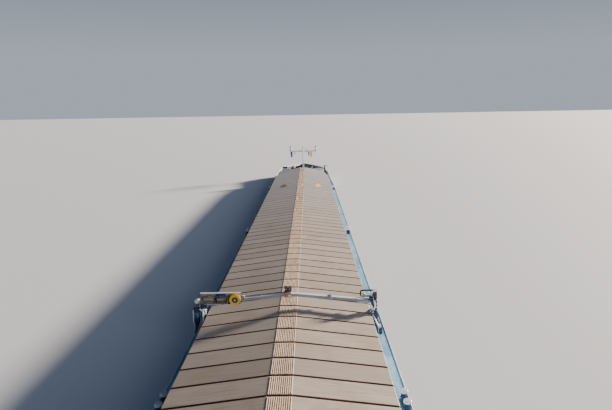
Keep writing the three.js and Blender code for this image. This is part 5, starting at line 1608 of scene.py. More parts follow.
def hung_flag(name, place, cloth, wide, long, folds, drift):
    """A flag that hangs limp from the yard by its hoist, ahead of it, in soft folds that drift forward."""
    x, y, z = place
    outward = copysign(radians(62), y)
    across, down = 25, 28
    rows = []
    for j in range(down):
        t = j / (down - 1)
        row = []
        shrink = 0.93 - 0.38 * t**0.7
        for i in range(across):
            u = i / (across - 1)
            wave = sin(2 * pi * folds * u + 1.3 * t + len(name)) * wide / folds / 6.2
            fly, fold = u * wide * shrink + drift * t * u, wave * (0.4 + 0.6 * t) * (0.35 + 0.65 * u)
            ahead = fly * cos(outward) - fold * sin(outward)
            row.append((x + 0.08 + ahead, y + fly * sin(outward) + fold * cos(outward), z - long * t))
        rows.append(row)
    bent(rows)
    piece = finished(cloth, smooth=80)
    applied(piece, "SOLIDIFY", thickness=0.004 * SCALE, offset=0)
    flag = carried(name, [piece], "mast", "white_paint")


def mast():
    """Folding mast: a tapered white pole with its yard, lanterns, horn, wires and flags."""
    pivot, yard_z, yard_half, top_z = 3.95, 6.6, 2.3, 7.4
    x = MAST_X
    pole = [(0, 0), (0.11, 0), (0.115, 0.6), (0.12, 0.7), (0.115, 2.5), (0.1, 3.48), (0, 3.48)]
    parts = [
        lathed(pole, (x, 0, 3.62), UP, WHITE, 24),
        rod((x, -0.135, pivot), (x, 0.135, pivot), 0.06, ZINC, 16),
        rod((x, -yard_half, yard_z), (x, yard_half, yard_z), 0.05, SLATE, 14),
        lathed(sleeve(0.07, 0.11, 0.07), (x, 0, yard_z), UP, WHITE),
        *both(pipe([(x, 0.05, yard_z - 0.55), (x, 0.9, yard_z)], 0.025, WHITE)),
    ]
    for side, lens in ((1, RED_LENS), (-1, GREEN_LENS)):
        place = (x, side * yard_half, yard_z + 0.03)
        parts += [*lantern(place, lens, 0.16, 0.87), screen(*place, 0.175, 0.87)]
    parts += [
        *lantern((x, 0, top_z - 0.32), CLEAR_LENS, 0.11, 0.32),
        *lantern((x, -0.62, yard_z - 0.1), AMBER_LENS, 0.09, 0.3),
        *lantern((x, 0.3, yard_z + 0.04), GREEN_LENS, 0.07, 0.2),
    ]
    horn = [(0, 0), (0.03, 0), (0.03, 0.12), (0.045, 0.2), (0.09, 0.26), (0.1, 0.265), (0.08, 0.25),
            (0.03, 0.15), (0, 0.14)]
    parts += [
        lathed(horn, (x - 0.1, 0.62, yard_z), AHEAD, BLACK, 20),
        rod((x - 0.02, 0.62, yard_z - 0.09), (x - 0.02, 0.62, yard_z), 0.02, BLACK, 8),
        *[pipe([(x, side * 2.12, 6.64), (x, 0, 7.1)], 0.007, ZINC) for side in (1, -1)],
    ]
    for y in (1.95, 1.42, -0.9, -1.3):
        line = [(x + 0.05, y, yard_z), (x + 0.055, y, yard_z - 1.25), (x + 0.06, y * 0.4, 5.0),
                (x + 0.1, y * 0.08, 4.5)]
        parts.append(pipe(line, 0.006, CREAM, 0.1))
    for z in (4.45, 4.55):
        parts.append(handle((x + 0.1, -0.06, z), (x + 0.1, 0.06, z), (0.03, 0, 0), 0.01, ZINC, 0.02))
    for z in (4.7, 5.05, 5.4, 5.75, 6.1):
        parts.append(handle((x + 0.095, -0.1, z), (x + 0.095, 0.1, z), (0.055, 0, 0), 0.011, ZINC, 0.03))
    in_place_of("mast", parts, "mast", "white_paint")
    for name, y, cloth, *cutting in (
        ("flag_blue", 1.95, BLUE_CLOTH, 0.55, 1.0, 3, 0.05),
        ("flag_white", 1.42, WHITE_CLOTH, 0.35, 0.6, 2, 0.03),
        ("flag_pale", -0.9, PALE_CLOTH, 0.45, 0.75, 3, 0.04),
        ("flag_yellow", -1.3, YELLOW_CLOTH, 0.55, 1.0, 3, 0.05),
    ):
        hung_flag(name, (x, y, yard_z - 0.12), cloth, *cutting)


def mast_base():
    """Tabernacle: two cheeks on a bolted foot, with the pin that the mast folds on."""
    x = MAST_X
    parts = [plate((x - 0.3, -0.25, 3.468), (x + 0.3, 0.25, 3.53), WHITE, 0.01)]
    for side in (1, -1):
        y = side * 0.17
        block((x - 0.22, y - 0.03, 3.5), (x + 0.22, y + 0.03, 4.0))
        pick("faces", tops)
        grow((0.55, 1, 1), (x, y, 4.0))
        pick("faces", tops)
        extrude((0, 0, 0.06))
        grow((0.5, 1, 1), (x, y, 4.06))
        parts += [
            finished(WHITE, 0.008),
            lathed([(0, 0), (0.07, 0), (0.07, 0.02), (0.05, 0.03), (0, 0.03)], (x, side * 0.2, 3.95),
                   (0, side, 0), ZINC),
            gusset((x, side * 0.2, 3.53), side * 0.05, 0.25, WHITE, axis=1),
        ]
    parts += bolts([(x + dx, y, 3.53) for dx in (-0.25, 0.25) for y in (-0.2, 0, 0.2)], UP, 0.04)
    in_place_of("mast_base", parts, "hull", "white_paint")


def anchor():
    """Stockless anchor, flat in the plane of y 0: shank with its shackle, heavy crown, pointed flukes."""
    block((-0.06, 0.0, -0.75), (0.06, 0.12, 0.14))
    pick("faces", tops)
    grow((0.65, 0.8, 1), (0, 0.06, 0.14))
    parts = [finished(BLACK, 0.015)]
    block((-0.42, 0.0, -0.85), (0.42, 0.2, -0.68))
    cut((0, 0, 0), AHEAD)
    pick("verts", lambda at, n: abs(at.x) > 0.3 and at.z > -0.75)
    push((0, 0, -0.06))
    parts.append(finished(BLACK, 0.03))
    fluke = [(0.14, -0.78), (0.44, -0.8), (0.47, -0.55), (0.44, -0.3), (0.34, -0.02), (0.27, -0.2),
             (0.2, -0.45)]
    for side in (1, -1):
        rows = []
        for y, share in ((0.02, 0.75), (0.05, 1.0), (0.09, 1.0), (0.12, 0.75)):
            row = [(side * (0.3 + (px - 0.3) * share), y, -0.5 + (pz + 0.5) * share) for px, pz in fluke]
            rows.append(row + row[:1])
        bent(rows, around=True)
        parts.append(finished(BLACK, 0.008))
    parts.append(ring((0, 0.06, 0.17), ABEAM, 0.06, 0.018, BLACK))
    return joined("anchor", parts)


def anchors():
    """The bow anchors, each on its side."""
    one = anchor()
    for name, y, turn in (("anchor_port", 3.668, -0.29), ("anchor_starboard", -3.668, pi + 0.29)):
        in_place_of(name, [copied(one, (46.35, y, 2.82), turn)], "hull", "black_steel")
    scrap(one)


def fore_board():
    """What stands on the board ahead of the covers: white rails near its ends, a black box, a rusty edge."""
    x = HOLD_FORE
    parts = [plate((x - 0.012, -3.4, 4.385), (x + 0.132, 3.4, 4.435), RUST, 0.008)]
    for side in (1, -1):
        ends = sorted((side * 1.95, side * 3.38))
        parts.append(plate((x + 0.005, ends[0], 4.43), (x + 0.15, ends[1], 4.56), WHITE, 0.02))
        for y in (2.1, 3.2):
            parts.append(gusset((x + 0.12, side * y, 3.13), 0.25, 1.0, WHITE))
    parts += [
        plate((x + 0.14, 2.5, 4.3), (x + 0.6, 3.3, 4.82), BLACK, 0.03),
        *[pipe([(x + 0.37, y, 3.13), (x + 0.37, y, 4.32)], 0.03, BLACK) for y in (2.65, 3.15)],
    ]
    carried("fore_board_trim", parts, "hull", "white_paint")


def bow_post():
    """Dark post inside the starboard bulwark, with a small lamp on its arm."""
    x, y = 42.9, -3.72
    foot = deck_at(x) - 0.01
    post = [(0, 0), (0.16, 0), (0.16, 0.03), (0.13, 0.04), (0.1, 1.3), (0.12, 1.32), (0.12, 1.42), (0, 1.45)]
    parts = [
        lathed(post, (x, y, foot), UP, BLACK),
        pipe([(x, y, foot + 1.38), (x, y - 0.42, foot + 1.38)], 0.045, BLACK),
        *lantern((x, y - 0.44, foot + 1.26), CLEAR_LENS, 0.06, 0.2),
    ]
    carried("bow_post", parts, "hull", "black_steel")


# Deckhouse

HOUSE_FORE, HOUSE_AFT, HOUSE_HALF, HOUSE_TOP = -41.3, -49.0, 3.3, 5.25
HOUSE_WALL, HOUSE_LEAN = 0.08, 0.12
HOUSE_WINDOWS = (-42.6, -44.4, -46.2, -47.9)
HOUSE_SILL, HOUSE_HEAD = 4.1, 4.75


def eased(low, high, radius, along, material, edge=0.0):
    """A block whose four edges along an axis, 0, 1 or 2, are well rounded."""
    block(low, high)
    pick("edges", lambda at, d: abs(d[along]) > 0.9)
    bpy.ops.mesh.bevel(offset=radius * SCALE, segments=5, affect="EDGES")
    return finished(material, edge)


def window(wide, tall, corner=0.09, frame_color=GREY):
    """Window in a wall to port, its middle at the origin, the wall's face at y 0: frame, seal, glass."""
    half, up = wide / 2, tall / 2
    parts = []
    for out, low, high, color in ((0.045, -0.012, 0.022, frame_color), (0.02, 0.0, 0.03, RUBBER)):
        rim = eased((-half - out, low, -up - out), (half + out, high, up + out), corner + out, 1, color,
                    0.005)
        hole = eased((-half + 0.03, -1, -up + 0.03), (half - 0.03, 1, up - 0.03), corner, 1, color)
        parts.append(cut_out(rim, hole))
    parts.append(eased((-half - 0.005, -0.03, -up - 0.005), (half + 0.005, -0.02, up + 0.005), corner, 1,
                       GLASS))
    return joined("window", parts)


def pane_hole(middle, wide, tall, corner, along):
    """The tool that cuts a window's hole through a wall, along an axis."""
    middle, half = Vector(middle), Vector((wide / 2, wide / 2, tall / 2))
    half[along] = 1.0
    return eased(middle - half, middle + half, corner, along, WHITE)


def handrail(points, posts, material=WHITE):
    """A tube along points, held off a wall or a roof by short posts."""
    radius = 0.018
    return [pipe(points, radius, material, 0.06)] + [rod(a, b, radius * 0.75, material, 8) for a, b in posts]


def deckhouse():
    """Cream walls over a blue foot, leaning in, with their windows, strakes, rails and a lifebuoy."""
    low, high = (HOUSE_AFT, -HOUSE_HALF, DECK), (HOUSE_FORE, HOUSE_HALF, HOUSE_TOP)
    leans = (HOUSE_HALF - HOUSE_LEAN) / HOUSE_HALF
    inset_by = Vector((HOUSE_WALL, HOUSE_WALL, 0))
    block(low, high)
    pick("faces", tops)
    grow((1, leans, 1), (0, 0, HOUSE_TOP))
    cut((0, 0, DECK + 0.22), UP)
    coat(CREAM)
    paint(NAVY, lambda at, n: at.z < DECK + 0.2 and abs(n.z) < 0.5)
    walls = finished(CREAM, 0.03, segments=3)
    block(Vector(low) + inset_by - Vector((0, 0, 0.01)), Vector(high) - inset_by + Vector((0, 0, 0.01)))
    pick("faces", tops)
    grow((1, leans, 1), (0, 0, HOUSE_TOP))
    room = finished(CREAM)
    middle, tall = (HOUSE_SILL + HOUSE_HEAD) / 2, HOUSE_HEAD - HOUSE_SILL
    holes = [pane_hole((x, side * HOUSE_HALF, middle), 0.8, tall, 0.09, 1) for x in HOUSE_WINDOWS
             for side in (1, -1)]
    holes += [pane_hole((HOUSE_AFT, 1.35, middle), 1.1, tall, 0.09, 0)]
    holes += [eased((HOUSE_AFT - 0.5, -1.14, 3.16), (HOUSE_AFT + 0.5, -0.46, 4.97), 0.08, 0, CREAM)]
    cut_out(walls, room, *holes)
    parts = [walls]
    wall_y = HOUSE_HALF - HOUSE_LEAN * (middle - DECK) / (HOUSE_TOP - DECK)
    angle = atan2(HOUSE_LEAN, HOUSE_TOP - DECK)
    pane = window(0.8, tall)
    for x in HOUSE_WINDOWS:
        parts += both(copied(pane, (x, wall_y, middle), angle, "X"))
    parts += spread(window(1.1, tall), [(HOUSE_AFT, 1.35, middle)], turn=radians(90))
    scrap(pane)
    for z in (DECK + 0.24, HOUSE_TOP - 0.16):
        y = HOUSE_HALF - HOUSE_LEAN * (z - DECK) / (HOUSE_TOP - DECK)
        strake = [(HOUSE_FORE - 0.02, y + 0.005, z), (HOUSE_AFT + 0.02, y + 0.005, z)]
        parts += both(pipe(strake, 0.022, GREY))
    y = HOUSE_HALF - 0.05
    rail = [(HOUSE_FORE - 0.3, y, 3.98), (HOUSE_AFT + 0.3, y, 3.98)]
    posts = [((x, y, 3.98), (x, y - 0.08, 3.98)) for x in (-41.8, -43.5, -45.3, -47.05, -48.6)]
    parts += [
        *both(joined("rail", handrail([(p[0], p[1] + 0.02, p[2]) for p in rail], posts, ZINC))),
        *lifebuoy((HOUSE_AFT - 0.04, 2.55, 4.3), ASTERN),
        plate((HOUSE_AFT - 0.035, -1.25, 5.05), (HOUSE_AFT, -0.35, 5.09), GREY, 0.006),
    ]
    dome = [(0, 0), (0.075, 0), (0.075, 0.02), (0.06, 0.03), (0.055, 0.07), (0.03, 0.095), (0, 0.1)]
    parts.append(lathed(dome, (HOUSE_AFT, -0.1, 4.9), ASTERN, CLEAR_LENS, 16))
    in_place_of("deckhouse", parts, "hull", "white_paint")


def lifebuoy(middle, axis):
    """Orange-red ring with four white bands and a line in hooks."""
    parts = [ring(middle, axis, 0.29, 0.055, RED, 40)]
    axis = Vector(axis).normalized()
    out = axis.orthogonal().normalized()
    for k in range(4):
        way = Matrix.Rotation(radians(45 + 90 * k), 3, axis) @ out
        along = axis.cross(way)
        here = Vector(middle) + way * 0.29
        parts.append(rod(here - along * 0.045, here + along * 0.045, 0.062, WHITE, 16))
    line = []
    for k in range(25):
        way = Matrix.Rotation(radians(15 * k), 3, axis) @ out
        line.append(Vector(middle) + way * (0.37 + 0.02 * cos(radians(60 * k))))
    parts.append(pipe(line, 0.009, CREAM))
    return parts


def deckhouse_roof():
    """Grey roof with a rounded edge and a gutter: exhausts with flaps, skylights, ventilators, handrails."""
    out = 0.14
    low = HOUSE_AFT - out, -HOUSE_HALF - out, HOUSE_TOP
    high = HOUSE_FORE + 0.1, HOUSE_HALF + out, HOUSE_TOP + 0.1
    parts = [eased(low, high, 0.25, 2, GREY, 0.03)]
    for side in (1, -1):
        x, y = -42.2, side * 2.4
        stack = [(0.16, 0), (0.16, 0.06), (0.14, 0.08), (0.14, 0.8), (0.125, 0.82), (0.125, 0.9), (0.1, 0.9),
                 (0.1, 0.5), (0, 0.5)]
        parts.append(lathed([(0, 0)] + stack, (x, y, HOUSE_TOP + 0.09), UP, SLATE, 24))
        flap = lathed([(0, 0), (0.12, 0), (0.12, 0.012), (0, 0.012)], (0, 0, 0), UP, SLATE, 24)
        parts += [
            *spread(flap, [(x + 0.02, y, 6.2)], turn=radians(-12), axis="Y"),
            *[ring((x, y, HOUSE_TOP + h), UP, 0.145, 0.015, ZINC, 24) for h in (0.35, 0.7)],
        ]
    for x in (-44.4, -46.6):
        top = HOUSE_TOP + 0.3
        frame = plate((x - 0.5, -0.5, HOUSE_TOP + 0.08), (x + 0.5, 0.5, top), CREAM, 0.02)
        cut_out(frame, plate((x - 0.42, -0.42, HOUSE_TOP + 0.14), (x + 0.42, 0.42, top + 0.1), CREAM, 0))
        lid = eased((x - 0.5, -0.5, top - 0.02), (x + 0.5, 0.5, top + 0.02), 0.06, 2, GREY, 0.006)
        cut_out(lid, eased((x - 0.41, -0.41, top - 0.1), (x + 0.41, 0.41, top + 0.1), 0.05, 2, GREY))
        parts += [
            frame,
            lid,
            plate((x - 0.42, -0.42, top - 0.005), (x + 0.42, 0.42, top + 0.005), GLASS, 0),
            *[rod((x + dx, -0.42, top + 0.012), (x + dx, 0.42, top + 0.012), 0.009, ZINC, 8)
              for dx in (-0.2, 0, 0.2)],
        ]
    vent = ventilator(0.45)
    parts += [copied(vent, (-48.0, side * 2.2, HOUSE_TOP + 0.09)) for side in (1, -1)]
    scrap(vent)
    z = HOUSE_TOP + 0.2
    rail = [(HOUSE_FORE - 1.9, 3.2, z), (HOUSE_AFT + 0.4, 3.2, z)]
    posts = [((x, 3.2, z), (x, 3.2, HOUSE_TOP + 0.08)) for x in (-43.2, -44.6, -46.0, -47.3, -48.6)]
    parts += both(joined("rail", handrail(rail, posts)))
    box = eased((-47.9, -0.45, HOUSE_TOP + 0.09), (-47.2, 0.45, HOUSE_TOP + 0.4), 0.06, 2, WHITE, 0.02)
    parts += [box, *louvres((-47.92, -0.35, HOUSE_TOP + 0.15), (-47.9, 0.35, HOUSE_TOP + 0.35), 5, GREY)]
    for y in (-1.5, 1.5):
        parts.append(plate((-46.9, y - 0.32, HOUSE_TOP + 0.13), (-45.2, y + 0.32, HOUSE_TOP + 0.165), NAVY,
                           0.006))
        for x in (-46.9 + 0.34 * k for k in range(1, 5)):
            parts.append(rod((x, y - 0.31, HOUSE_TOP + 0.168), (x, y + 0.31, HOUSE_TOP + 0.168), 0.006, ZINC,
                             6))
        for x in (-46.7, -45.4):
            parts.append(plate((x - 0.03, y - 0.3, HOUSE_TOP + 0.09), (x + 0.03, y + 0.3, HOUSE_TOP + 0.135),
                               ZINC, 0.004))
    in_place_of("deckhouse_roof", parts, "hull", "grey_paint")


def panel_door(wide, tall, low, high, margin, color, foot, turn=0.0):
    """A door with a window, hinges and a lever, made with its hinge edge at the origin, then set up."""
    half_wide, half_tall = (wide - 2 * margin) / 2, (high - low) / 2
    leaf = eased((-wide, -0.05, 0), (0, 0, tall), 0.04, 1, color, 0.006)
    x, z = -wide / 2, (low + high) / 2
    cut_out(leaf, pane_hole((x, 0, z), 2 * half_wide, 2 * half_tall, 0.06, 1))
    parts = [leaf, *spread(window(2 * half_wide - 0.03, 2 * half_tall - 0.03, 0.06), [(x, -0.004, z)])]
    kick = eased((-wide + 0.08, -0.002, 0.08), (-0.08, 0.006, 0.4), 0.03, 1, ZINC)
    grip_z = tall * 0.5
    lever = pipe([(-wide + 0.07, 0, grip_z), (-wide + 0.07, 0.045, grip_z), (-wide + 0.19, 0.045, grip_z)],
                 0.011, ZINC, 0.02)
    rose = lathed([(0, 0), (0.03, 0), (0.03, 0.006), (0, 0.01)], (-wide + 0.07, 0, grip_z), ABEAM, ZINC, 16)
    parts += [
        kick,
        lever,
        rose,
        *[rod((-0.012, 0.004, h), (-0.012, 0.004, h + 0.1), 0.011, ZINC, 10)
          for h in (0.2, tall / 2, tall - 0.3)],
    ]
    return spread(joined("door", parts), [foot], turn=turn)


def doors():
    """The deckhouse's door, and the wheelhouse's two."""
    foot = (HOUSE_AFT - 0.055, -0.4, DECK + 0.08)
    made = panel_door(0.8, 1.85, 1.0, 1.65, 0.16, SKY, foot, radians(90))
    in_place_of("deckhouse_door", made, "deckhouse_door", "deck_blue")
    foot = (HELM_X + 0.11, HELM_HALF, HELM_FLOOR + 0.05)
    made = panel_door(0.8, 1.94, 0.9, 1.8, 0.1, WHITE, foot)[0]
    for (name, _), piece in zip(SIDES, both(made)):
        node_name = "wheelhouse_door_" + name
        in_place_of(node_name, [piece], node_name, "white_paint")


# Wheelhouse

HELM_X, HELM_FLOOR, HELM_TALL = -39.4, 4.28, 2.2
HELM_LONG, HELM_HALF = 1.5, 1.9
HELM_SILL, HELM_HEAD = 0.85, 1.98


def wheelhouse():
    """White walls with windows all round, their wipers, a strake and a lifebuoy."""
    place = (HELM_X, 0, HELM_FLOOR)
    block((-HELM_LONG, -HELM_HALF, 0), (HELM_LONG, HELM_HALF, HELM_TALL))
    walls = finished(WHITE, 0.03, segments=3)
    inner = (HELM_LONG - HOUSE_WALL, HELM_HALF - HOUSE_WALL)
    holes = [plate((-inner[0], -inner[1], -1), (*inner, 4), WHITE, 0)]
    middle, tall = (HELM_SILL + HELM_HEAD) / 2, HELM_HEAD - HELM_SILL
    panes = []
    for k in (-1, 0, 1):
        panes += [((end * HELM_LONG, k * 1.2, middle), 1.08, 0, 90 * -end) for end in (1, -1)]
    for x, wide in ((0.8, 1.0), (-1.08, 0.48)):
        panes += [((x, HELM_HALF, middle), wide, 1, 0), ((x, -HELM_HALF, middle), wide, 1, 180)]
    holes += [pane_hole(spot, wide, tall, 0.07, along) for spot, wide, along, turn in panes]
    cut_out(walls, *holes, plate((-0.698, -4, 0.042), (0.118, 4, 1.998), WHITE, 0))
    parts = [walls]
    for spot, wide, along, turn in panes:
        parts += spread(window(wide, tall, 0.07, WHITE), [spot], turn=radians(turn))
    for y in (-1.2, 0, 1.2):
        x = HELM_LONG + 0.03
        parts += [
            pipe([(x, y + 0.1, HELM_HEAD + 0.04), (x + 0.02, y + 0.06, HELM_HEAD - 0.05),
                  (x + 0.005, y - 0.12, middle - 0.2)], 0.008, BLACK, 0.02),
            plate((x - 0.005, y - 0.16, middle - 0.4), (x + 0.008, y - 0.13, middle + 0.1), RUBBER, 0.003),
            plate((x - 0.04, y + 0.03, HELM_HEAD + 0.01), (x + 0.02, y + 0.17, HELM_HEAD + 0.08), GREY,
                  0.012),
        ]
    y = HELM_HALF + 0.004
    for low, high in ((-1.46, -0.74), (0.16, 1.46)):
        parts += both(plate((low, y - 0.01, 0.45), (high, y + 0.012, 0.5), GREY, 0.005))
    parts += lifebuoy((-HELM_LONG - 0.06, 1.2, 0.42), ASTERN)
    in_place_of("wheelhouse_walls", parts, "wheelhouse", "white_paint", place=place)


def wheelhouse_roof():
    """Crowned roof with a rounded rim, its radar post, horn, searchlight, whips and a satellite dome."""
    place = (HELM_X, 0, HELM_FLOOR + HELM_TALL)
    half, out = HELM_HALF + 0.25, HELM_LONG + 0.25
    slab = eased((-out, -half, 0), (out, half, 0.07), 0.2, 2, WHITE, 0.02)
    block((-out + 0.15, -0.8 * half, 0.06), (out - 0.15, 0.8 * half, 0.15))
    pick("faces", tops)
    grow((0.9, 0.9, 1), (0, 0, 0.15))
    crown = finished(WHITE, 0.03, segments=3)
    parts = [slab, crown]
    post = [(0, 0), (0.12, 0), (0.12, 0.02), (0.07, 0.04), (0.07, 0.7), (0.085, 0.71), (0, 0.71)]
    parts += [
        lathed(post, (-0.2, 0, 0.14), UP, WHITE, 20),
        rod((-0.2, -0.6, 0.55), (-0.2, 0.6, 0.55), 0.03, WHITE),
        *[gusset((-0.2, side * 0.06, 0.16), side * 0.16, 0.3, WHITE, axis=1) for side in (1, -1)],
    ]
    for y in (0.55, -0.55):
        parts += lantern((-0.2, y, 0.57), AMBER_LENS, 0.07, 0.2)
    lamp = [(0, 0), (0.1, 0.0), (0.12, 0.04), (0.12, 0.2), (0.105, 0.2), (0.1, 0.18), (0, 0.16)]
    parts += [
        *spread(lathed(lamp, (0, 0, 0), AHEAD, WHITE, 24), [(1.2, 0.9, 0.22)]),
        lathed([(0, 0.17), (0.1, 0.185), (0.1, 0.19), (0, 0.195)], (1.2, 0.9, 0.22), AHEAD, CLEAR_LENS, 24),
        handle((1.3, 0.77, 0.22), (1.3, 1.03, 0.22), (0, 0, -0.1), 0.012, WHITE, 0.03),
        rod((1.3, 0.9, 0.06), (1.3, 0.9, 0.12), 0.03, WHITE),
    ]
    for side in (1, -1):
        whip = [(0, 0), (0.035, 0), (0.035, 0.03), (0.02, 0.05), (0.02, 0.25), (0.008, 0.28), (0.005, 1.02),
                (0, 1.02)]
        parts.append(lathed(whip, (-1.3, side * 1.2, 0.07), UP, WHITE, 12))
    dome = [(0, 0), (0.05, 0), (0.05, 0.06), (0.14, 0.08), (0.15, 0.13), (0.11, 0.2), (0, 0.23)]
    parts.append(lathed(dome, (-1.0, -0.6, 0.14), UP, WHITE, 24))
    for y in (-0.35, -0.2):
        horn = [(0, 0), (0.03, 0), (0.03, 0.1), (0.035, 0.22), (0.07, 0.32), (0.075, 0.325), (0.05, 0.3),
                (0.02, 0.2), (0, 0.18)]
        parts += [
            lathed(horn, (0.5, y, 0.21), AHEAD, ZINC, 20),
            rod((0.56, y, 0.13), (0.56, y, 0.2), 0.015, ZINC, 8),
        ]
    parts.append(handle((1.52, 1.4, 0.06), (1.52, -1.4, 0.06), (0, 0, 0.12), 0.014, WHITE, 0.05))
    in_place_of("wheelhouse_roof", parts, "wheelhouse", "white_paint", place=place)

    parts = [lathed([(0, 0), (0.1, 0), (0.1, 0.03), (0.07, 0.05), (0.07, 0.13), (0, 0.13)], (0, 0, 0), UP,
                    GREY, 20)]
    block((-0.09, -0.75, 0.12), (0.09, 0.75, 0.26))
    pick("faces", lambda at, n: abs(n.y) > 0.9)
    grow((0.6, 1, 0.7), (0, 0, 0.19))
    for y in (-0.6, 0.6):
        cut((0, y, 0), ABEAM)
    parts += [
        finished(WHITE, 0.03, segments=3),
        plate((0.08, -0.68, 0.15), (0.092, 0.68, 0.23), BLACK, 0.004),
    ]
    scanner = (HELM_X - 0.2, 0, HELM_FLOOR + HELM_TALL + 0.853)
    in_place_of("radar_scanner", parts, "radar_scanner", "white_paint", place=scanner)


def wheelhouse_inside():
    """Console with its wheel, levers, screens and dials, and the chair behind it."""
    place = (HELM_X, 0, HELM_FLOOR)
    block((0.55, -0.9, 0.003), (1.25, 0.9, 0.72))
    pick("faces", tops)
    extrude((0, 0, 0.1))
    pick("verts", lambda at, n: at.z > 0.8 and at.x > 1)
    push((-0.06, 0, 0.08))
    pick("verts", lambda at, n: at.z > 0.75 and at.x < 0.7)
    push((0.2, 0, 0.02))
    parts = [finished(SLATE, 0.02)]
    leaning = {"turn": radians(-22), "axis": "Y"}
    display = eased((-0.16, -0.17, 0), (0.16, 0.17, 0.02), 0.02, 2, BLACK, 0.004)
    parts += spread(display, [(0.95, y, 0.86) for y in (-0.62, -0.2, 0.3)], **leaning)
    dial = lathed([(0, 0.012), (0.045, 0.012), (0.05, 0.02), (0.06, 0.018), (0.06, 0), (0, 0)], (0, 0, 0), UP,
                  WHITE, 24)
    parts += spread(dial, [(0.9, 0.58 + 0.13 * k, 0.842) for k in range(3)], **leaning)
    for y in (-0.06, 0.12):
        parts += [
            rod((0.66, y, 0.73), (0.69, y, 0.86), 0.012, ZINC, 8),
            rod((0.69, y - 0.03, 0.86), (0.69, y + 0.03, 0.86), 0.02, BLACK, 10, edge=0.006),
        ]
    parts.append(hand_wheel((0.55, 0, 0.62), (1, 0, 0.4), 0.2, BLACK))
    carried("console_dressed", parts, "wheelhouse", "grey_paint", "wheelhouse_console", place=place)

    base = [(0, 0), (0.24, 0), (0.24, 0.015), (0.1, 0.05), (0.06, 0.08), (0.06, 0.3), (0.045, 0.31),
            (0.045, 0.44), (0, 0.44)]
    parts = [
        lathed(base, (-0.25, 0, 0.004), UP, ZINC, 24),
        plate((-0.45, -0.2, 0.43), (-0.03, 0.2, 0.46), BLACK, 0.006),
        plate((-0.54, -0.05, 0.44), (-0.51, 0.05, 0.9), BLACK, 0.006),
    ]
    for side in (1, -1):
        y = side * 0.24
        parts += [
            pipe([(-0.5, y, 0.6), (-0.5, y, 0.72), (-0.15, y, 0.72)], 0.015, BLACK, 0.04),
            eased((-0.4, y - 0.03, 0.71), (-0.08, y + 0.03, 0.75), 0.02, 2, VINYL, 0.01),
        ]
    carried("chair_frame", parts, "wheelhouse", "black_steel", "wheelhouse_chair", place=place)
    for name, low, high, thin, fill in (
        ("seat_cushion", (-0.49, -0.25, 0.46), (0.02, 0.25, 0.575), 2, 0.75),
        ("back_cushion", (-0.535, -0.24, 0.62), (-0.44, 0.24, 1.19), 0, 0.7),
    ):
        cushion = carried(name, [padding(low, high, thin)], "wheelhouse", "black_steel", place=place)


def padding(low, high, thin):
    """A crowned vinyl cushion whose sides pull in between its corners, with two sewn channels."""
    block(low, high)
    bpy.ops.mesh.select_all(action="SELECT")
    bpy.ops.mesh.subdivide(number_cuts=11)
    middle, half = (Vector(low) + Vector(high)) / 2, (Vector(high) - Vector(low)) / 2
    wide = [a for a in range(3) if a != thin]
    piece = bpy.context.object
    bpy.ops.object.mode_set(mode="OBJECT")
    for vertex in piece.data.vertices:
        offset = vertex.co / SCALE - middle
        u, v, t = (offset[a] / half[a] for a in (*wide, thin))
        crown = 0.62 + 0.38 * (1 - u**4) * (1 - v**4)
        channel = 1 - 0.16 * exp(-(((abs(u) - 0.38) / 0.05) ** 2))
        offset[thin] = half[thin] * t * crown * channel
        for a, other, own in ((wide[0], v, u), (wide[1], u, v)):
            offset[a] *= 1 - 0.04 * (1 - other**2) * own**4
        vertex.co = (middle + offset) * SCALE
    bpy.ops.object.mode_set(mode="EDIT")
    return finished(VINYL, smooth=70)


def platform():
    """Wheelhouse floor of tread plate with its side platforms and their rails, on the lifting column."""
    place = (HELM_X, 0, HELM_FLOOR)
    parts = [
        plate((-HELM_LONG, -2.7, -0.08), (HELM_LONG, 2.7, 0), GREY, 0.012),
        plate((-0.5, -0.5, 0.78 - HELM_FLOOR), (0.5, 0.5, -0.06), ZINC, 0.02),
    ]
    ribs = plate((-0.012, -2.62, -0.16), (0.012, 2.62, -0.07), GREY, 0.003)
    parts += spread(ribs, [(x, 0, 0) for x in (-1.2, -0.7, 0.7, 1.2)])
    for x in (-1.45, 1.45):
        for side in (1, -1):
            y = side * 2.66
            parts += [
                handle((x, side * 1.95, 0), (x, y, 0), UP, 0.02, WHITE, 0.08),
                rod((x, side * 1.95, 0.5), (x, y, 0.5), 0.012, WHITE, 8),
            ]
    for side in (1, -1):
        y = side * 2.66
        for low, high in ((-1.45, -0.85), (0.3, 1.45)):
            parts += [
                handle((low, y, 0), (high, y, 0), UP, 0.02, WHITE, 0.08),
                rod((low, y, 0.5), (high, y, 0.5), 0.012, WHITE, 8),
                plate((low, y - 0.008, 0), (high, y + 0.008, 0.1), GREY, 0.003),
            ]
    in_place_of("wheelhouse_column", parts, "wheelhouse", "grey_paint", place=place)

    outer, bore, tall = 0.78, 0.508, 1.0
    guide = plate((-outer, -outer, 0), (outer, outer, tall), GREY, 0.02)
    parts = [
        cut_out(guide, plate((-bore, -bore, -1), (bore, bore, 2), GREY, 0)),
        *bolts([(x, y, tall) for x in (-0.66, 0, 0.66) for y in (-0.66, 0.66)], UP, 0.05),
        *bolts([(x, 0, tall) for x in (-0.66, 0.66)], UP, 0.05),
    ]
    for side in (1, -1):
        for x in (-0.5, 0, 0.5):
            ends = sorted((side * 0.77, side * 0.8))
            parts.append(plate((x - 0.012, ends[0], 0.02), (x + 0.012, ends[1], 0.94), GREY, 0.004))
    in_place_of("column_guide", parts, "hull", "grey_paint", place=(HELM_X, 0, DECK))


# Stern

TRANSOM = -52.3
PROPELLER = (-47.7, 0, 1.0)


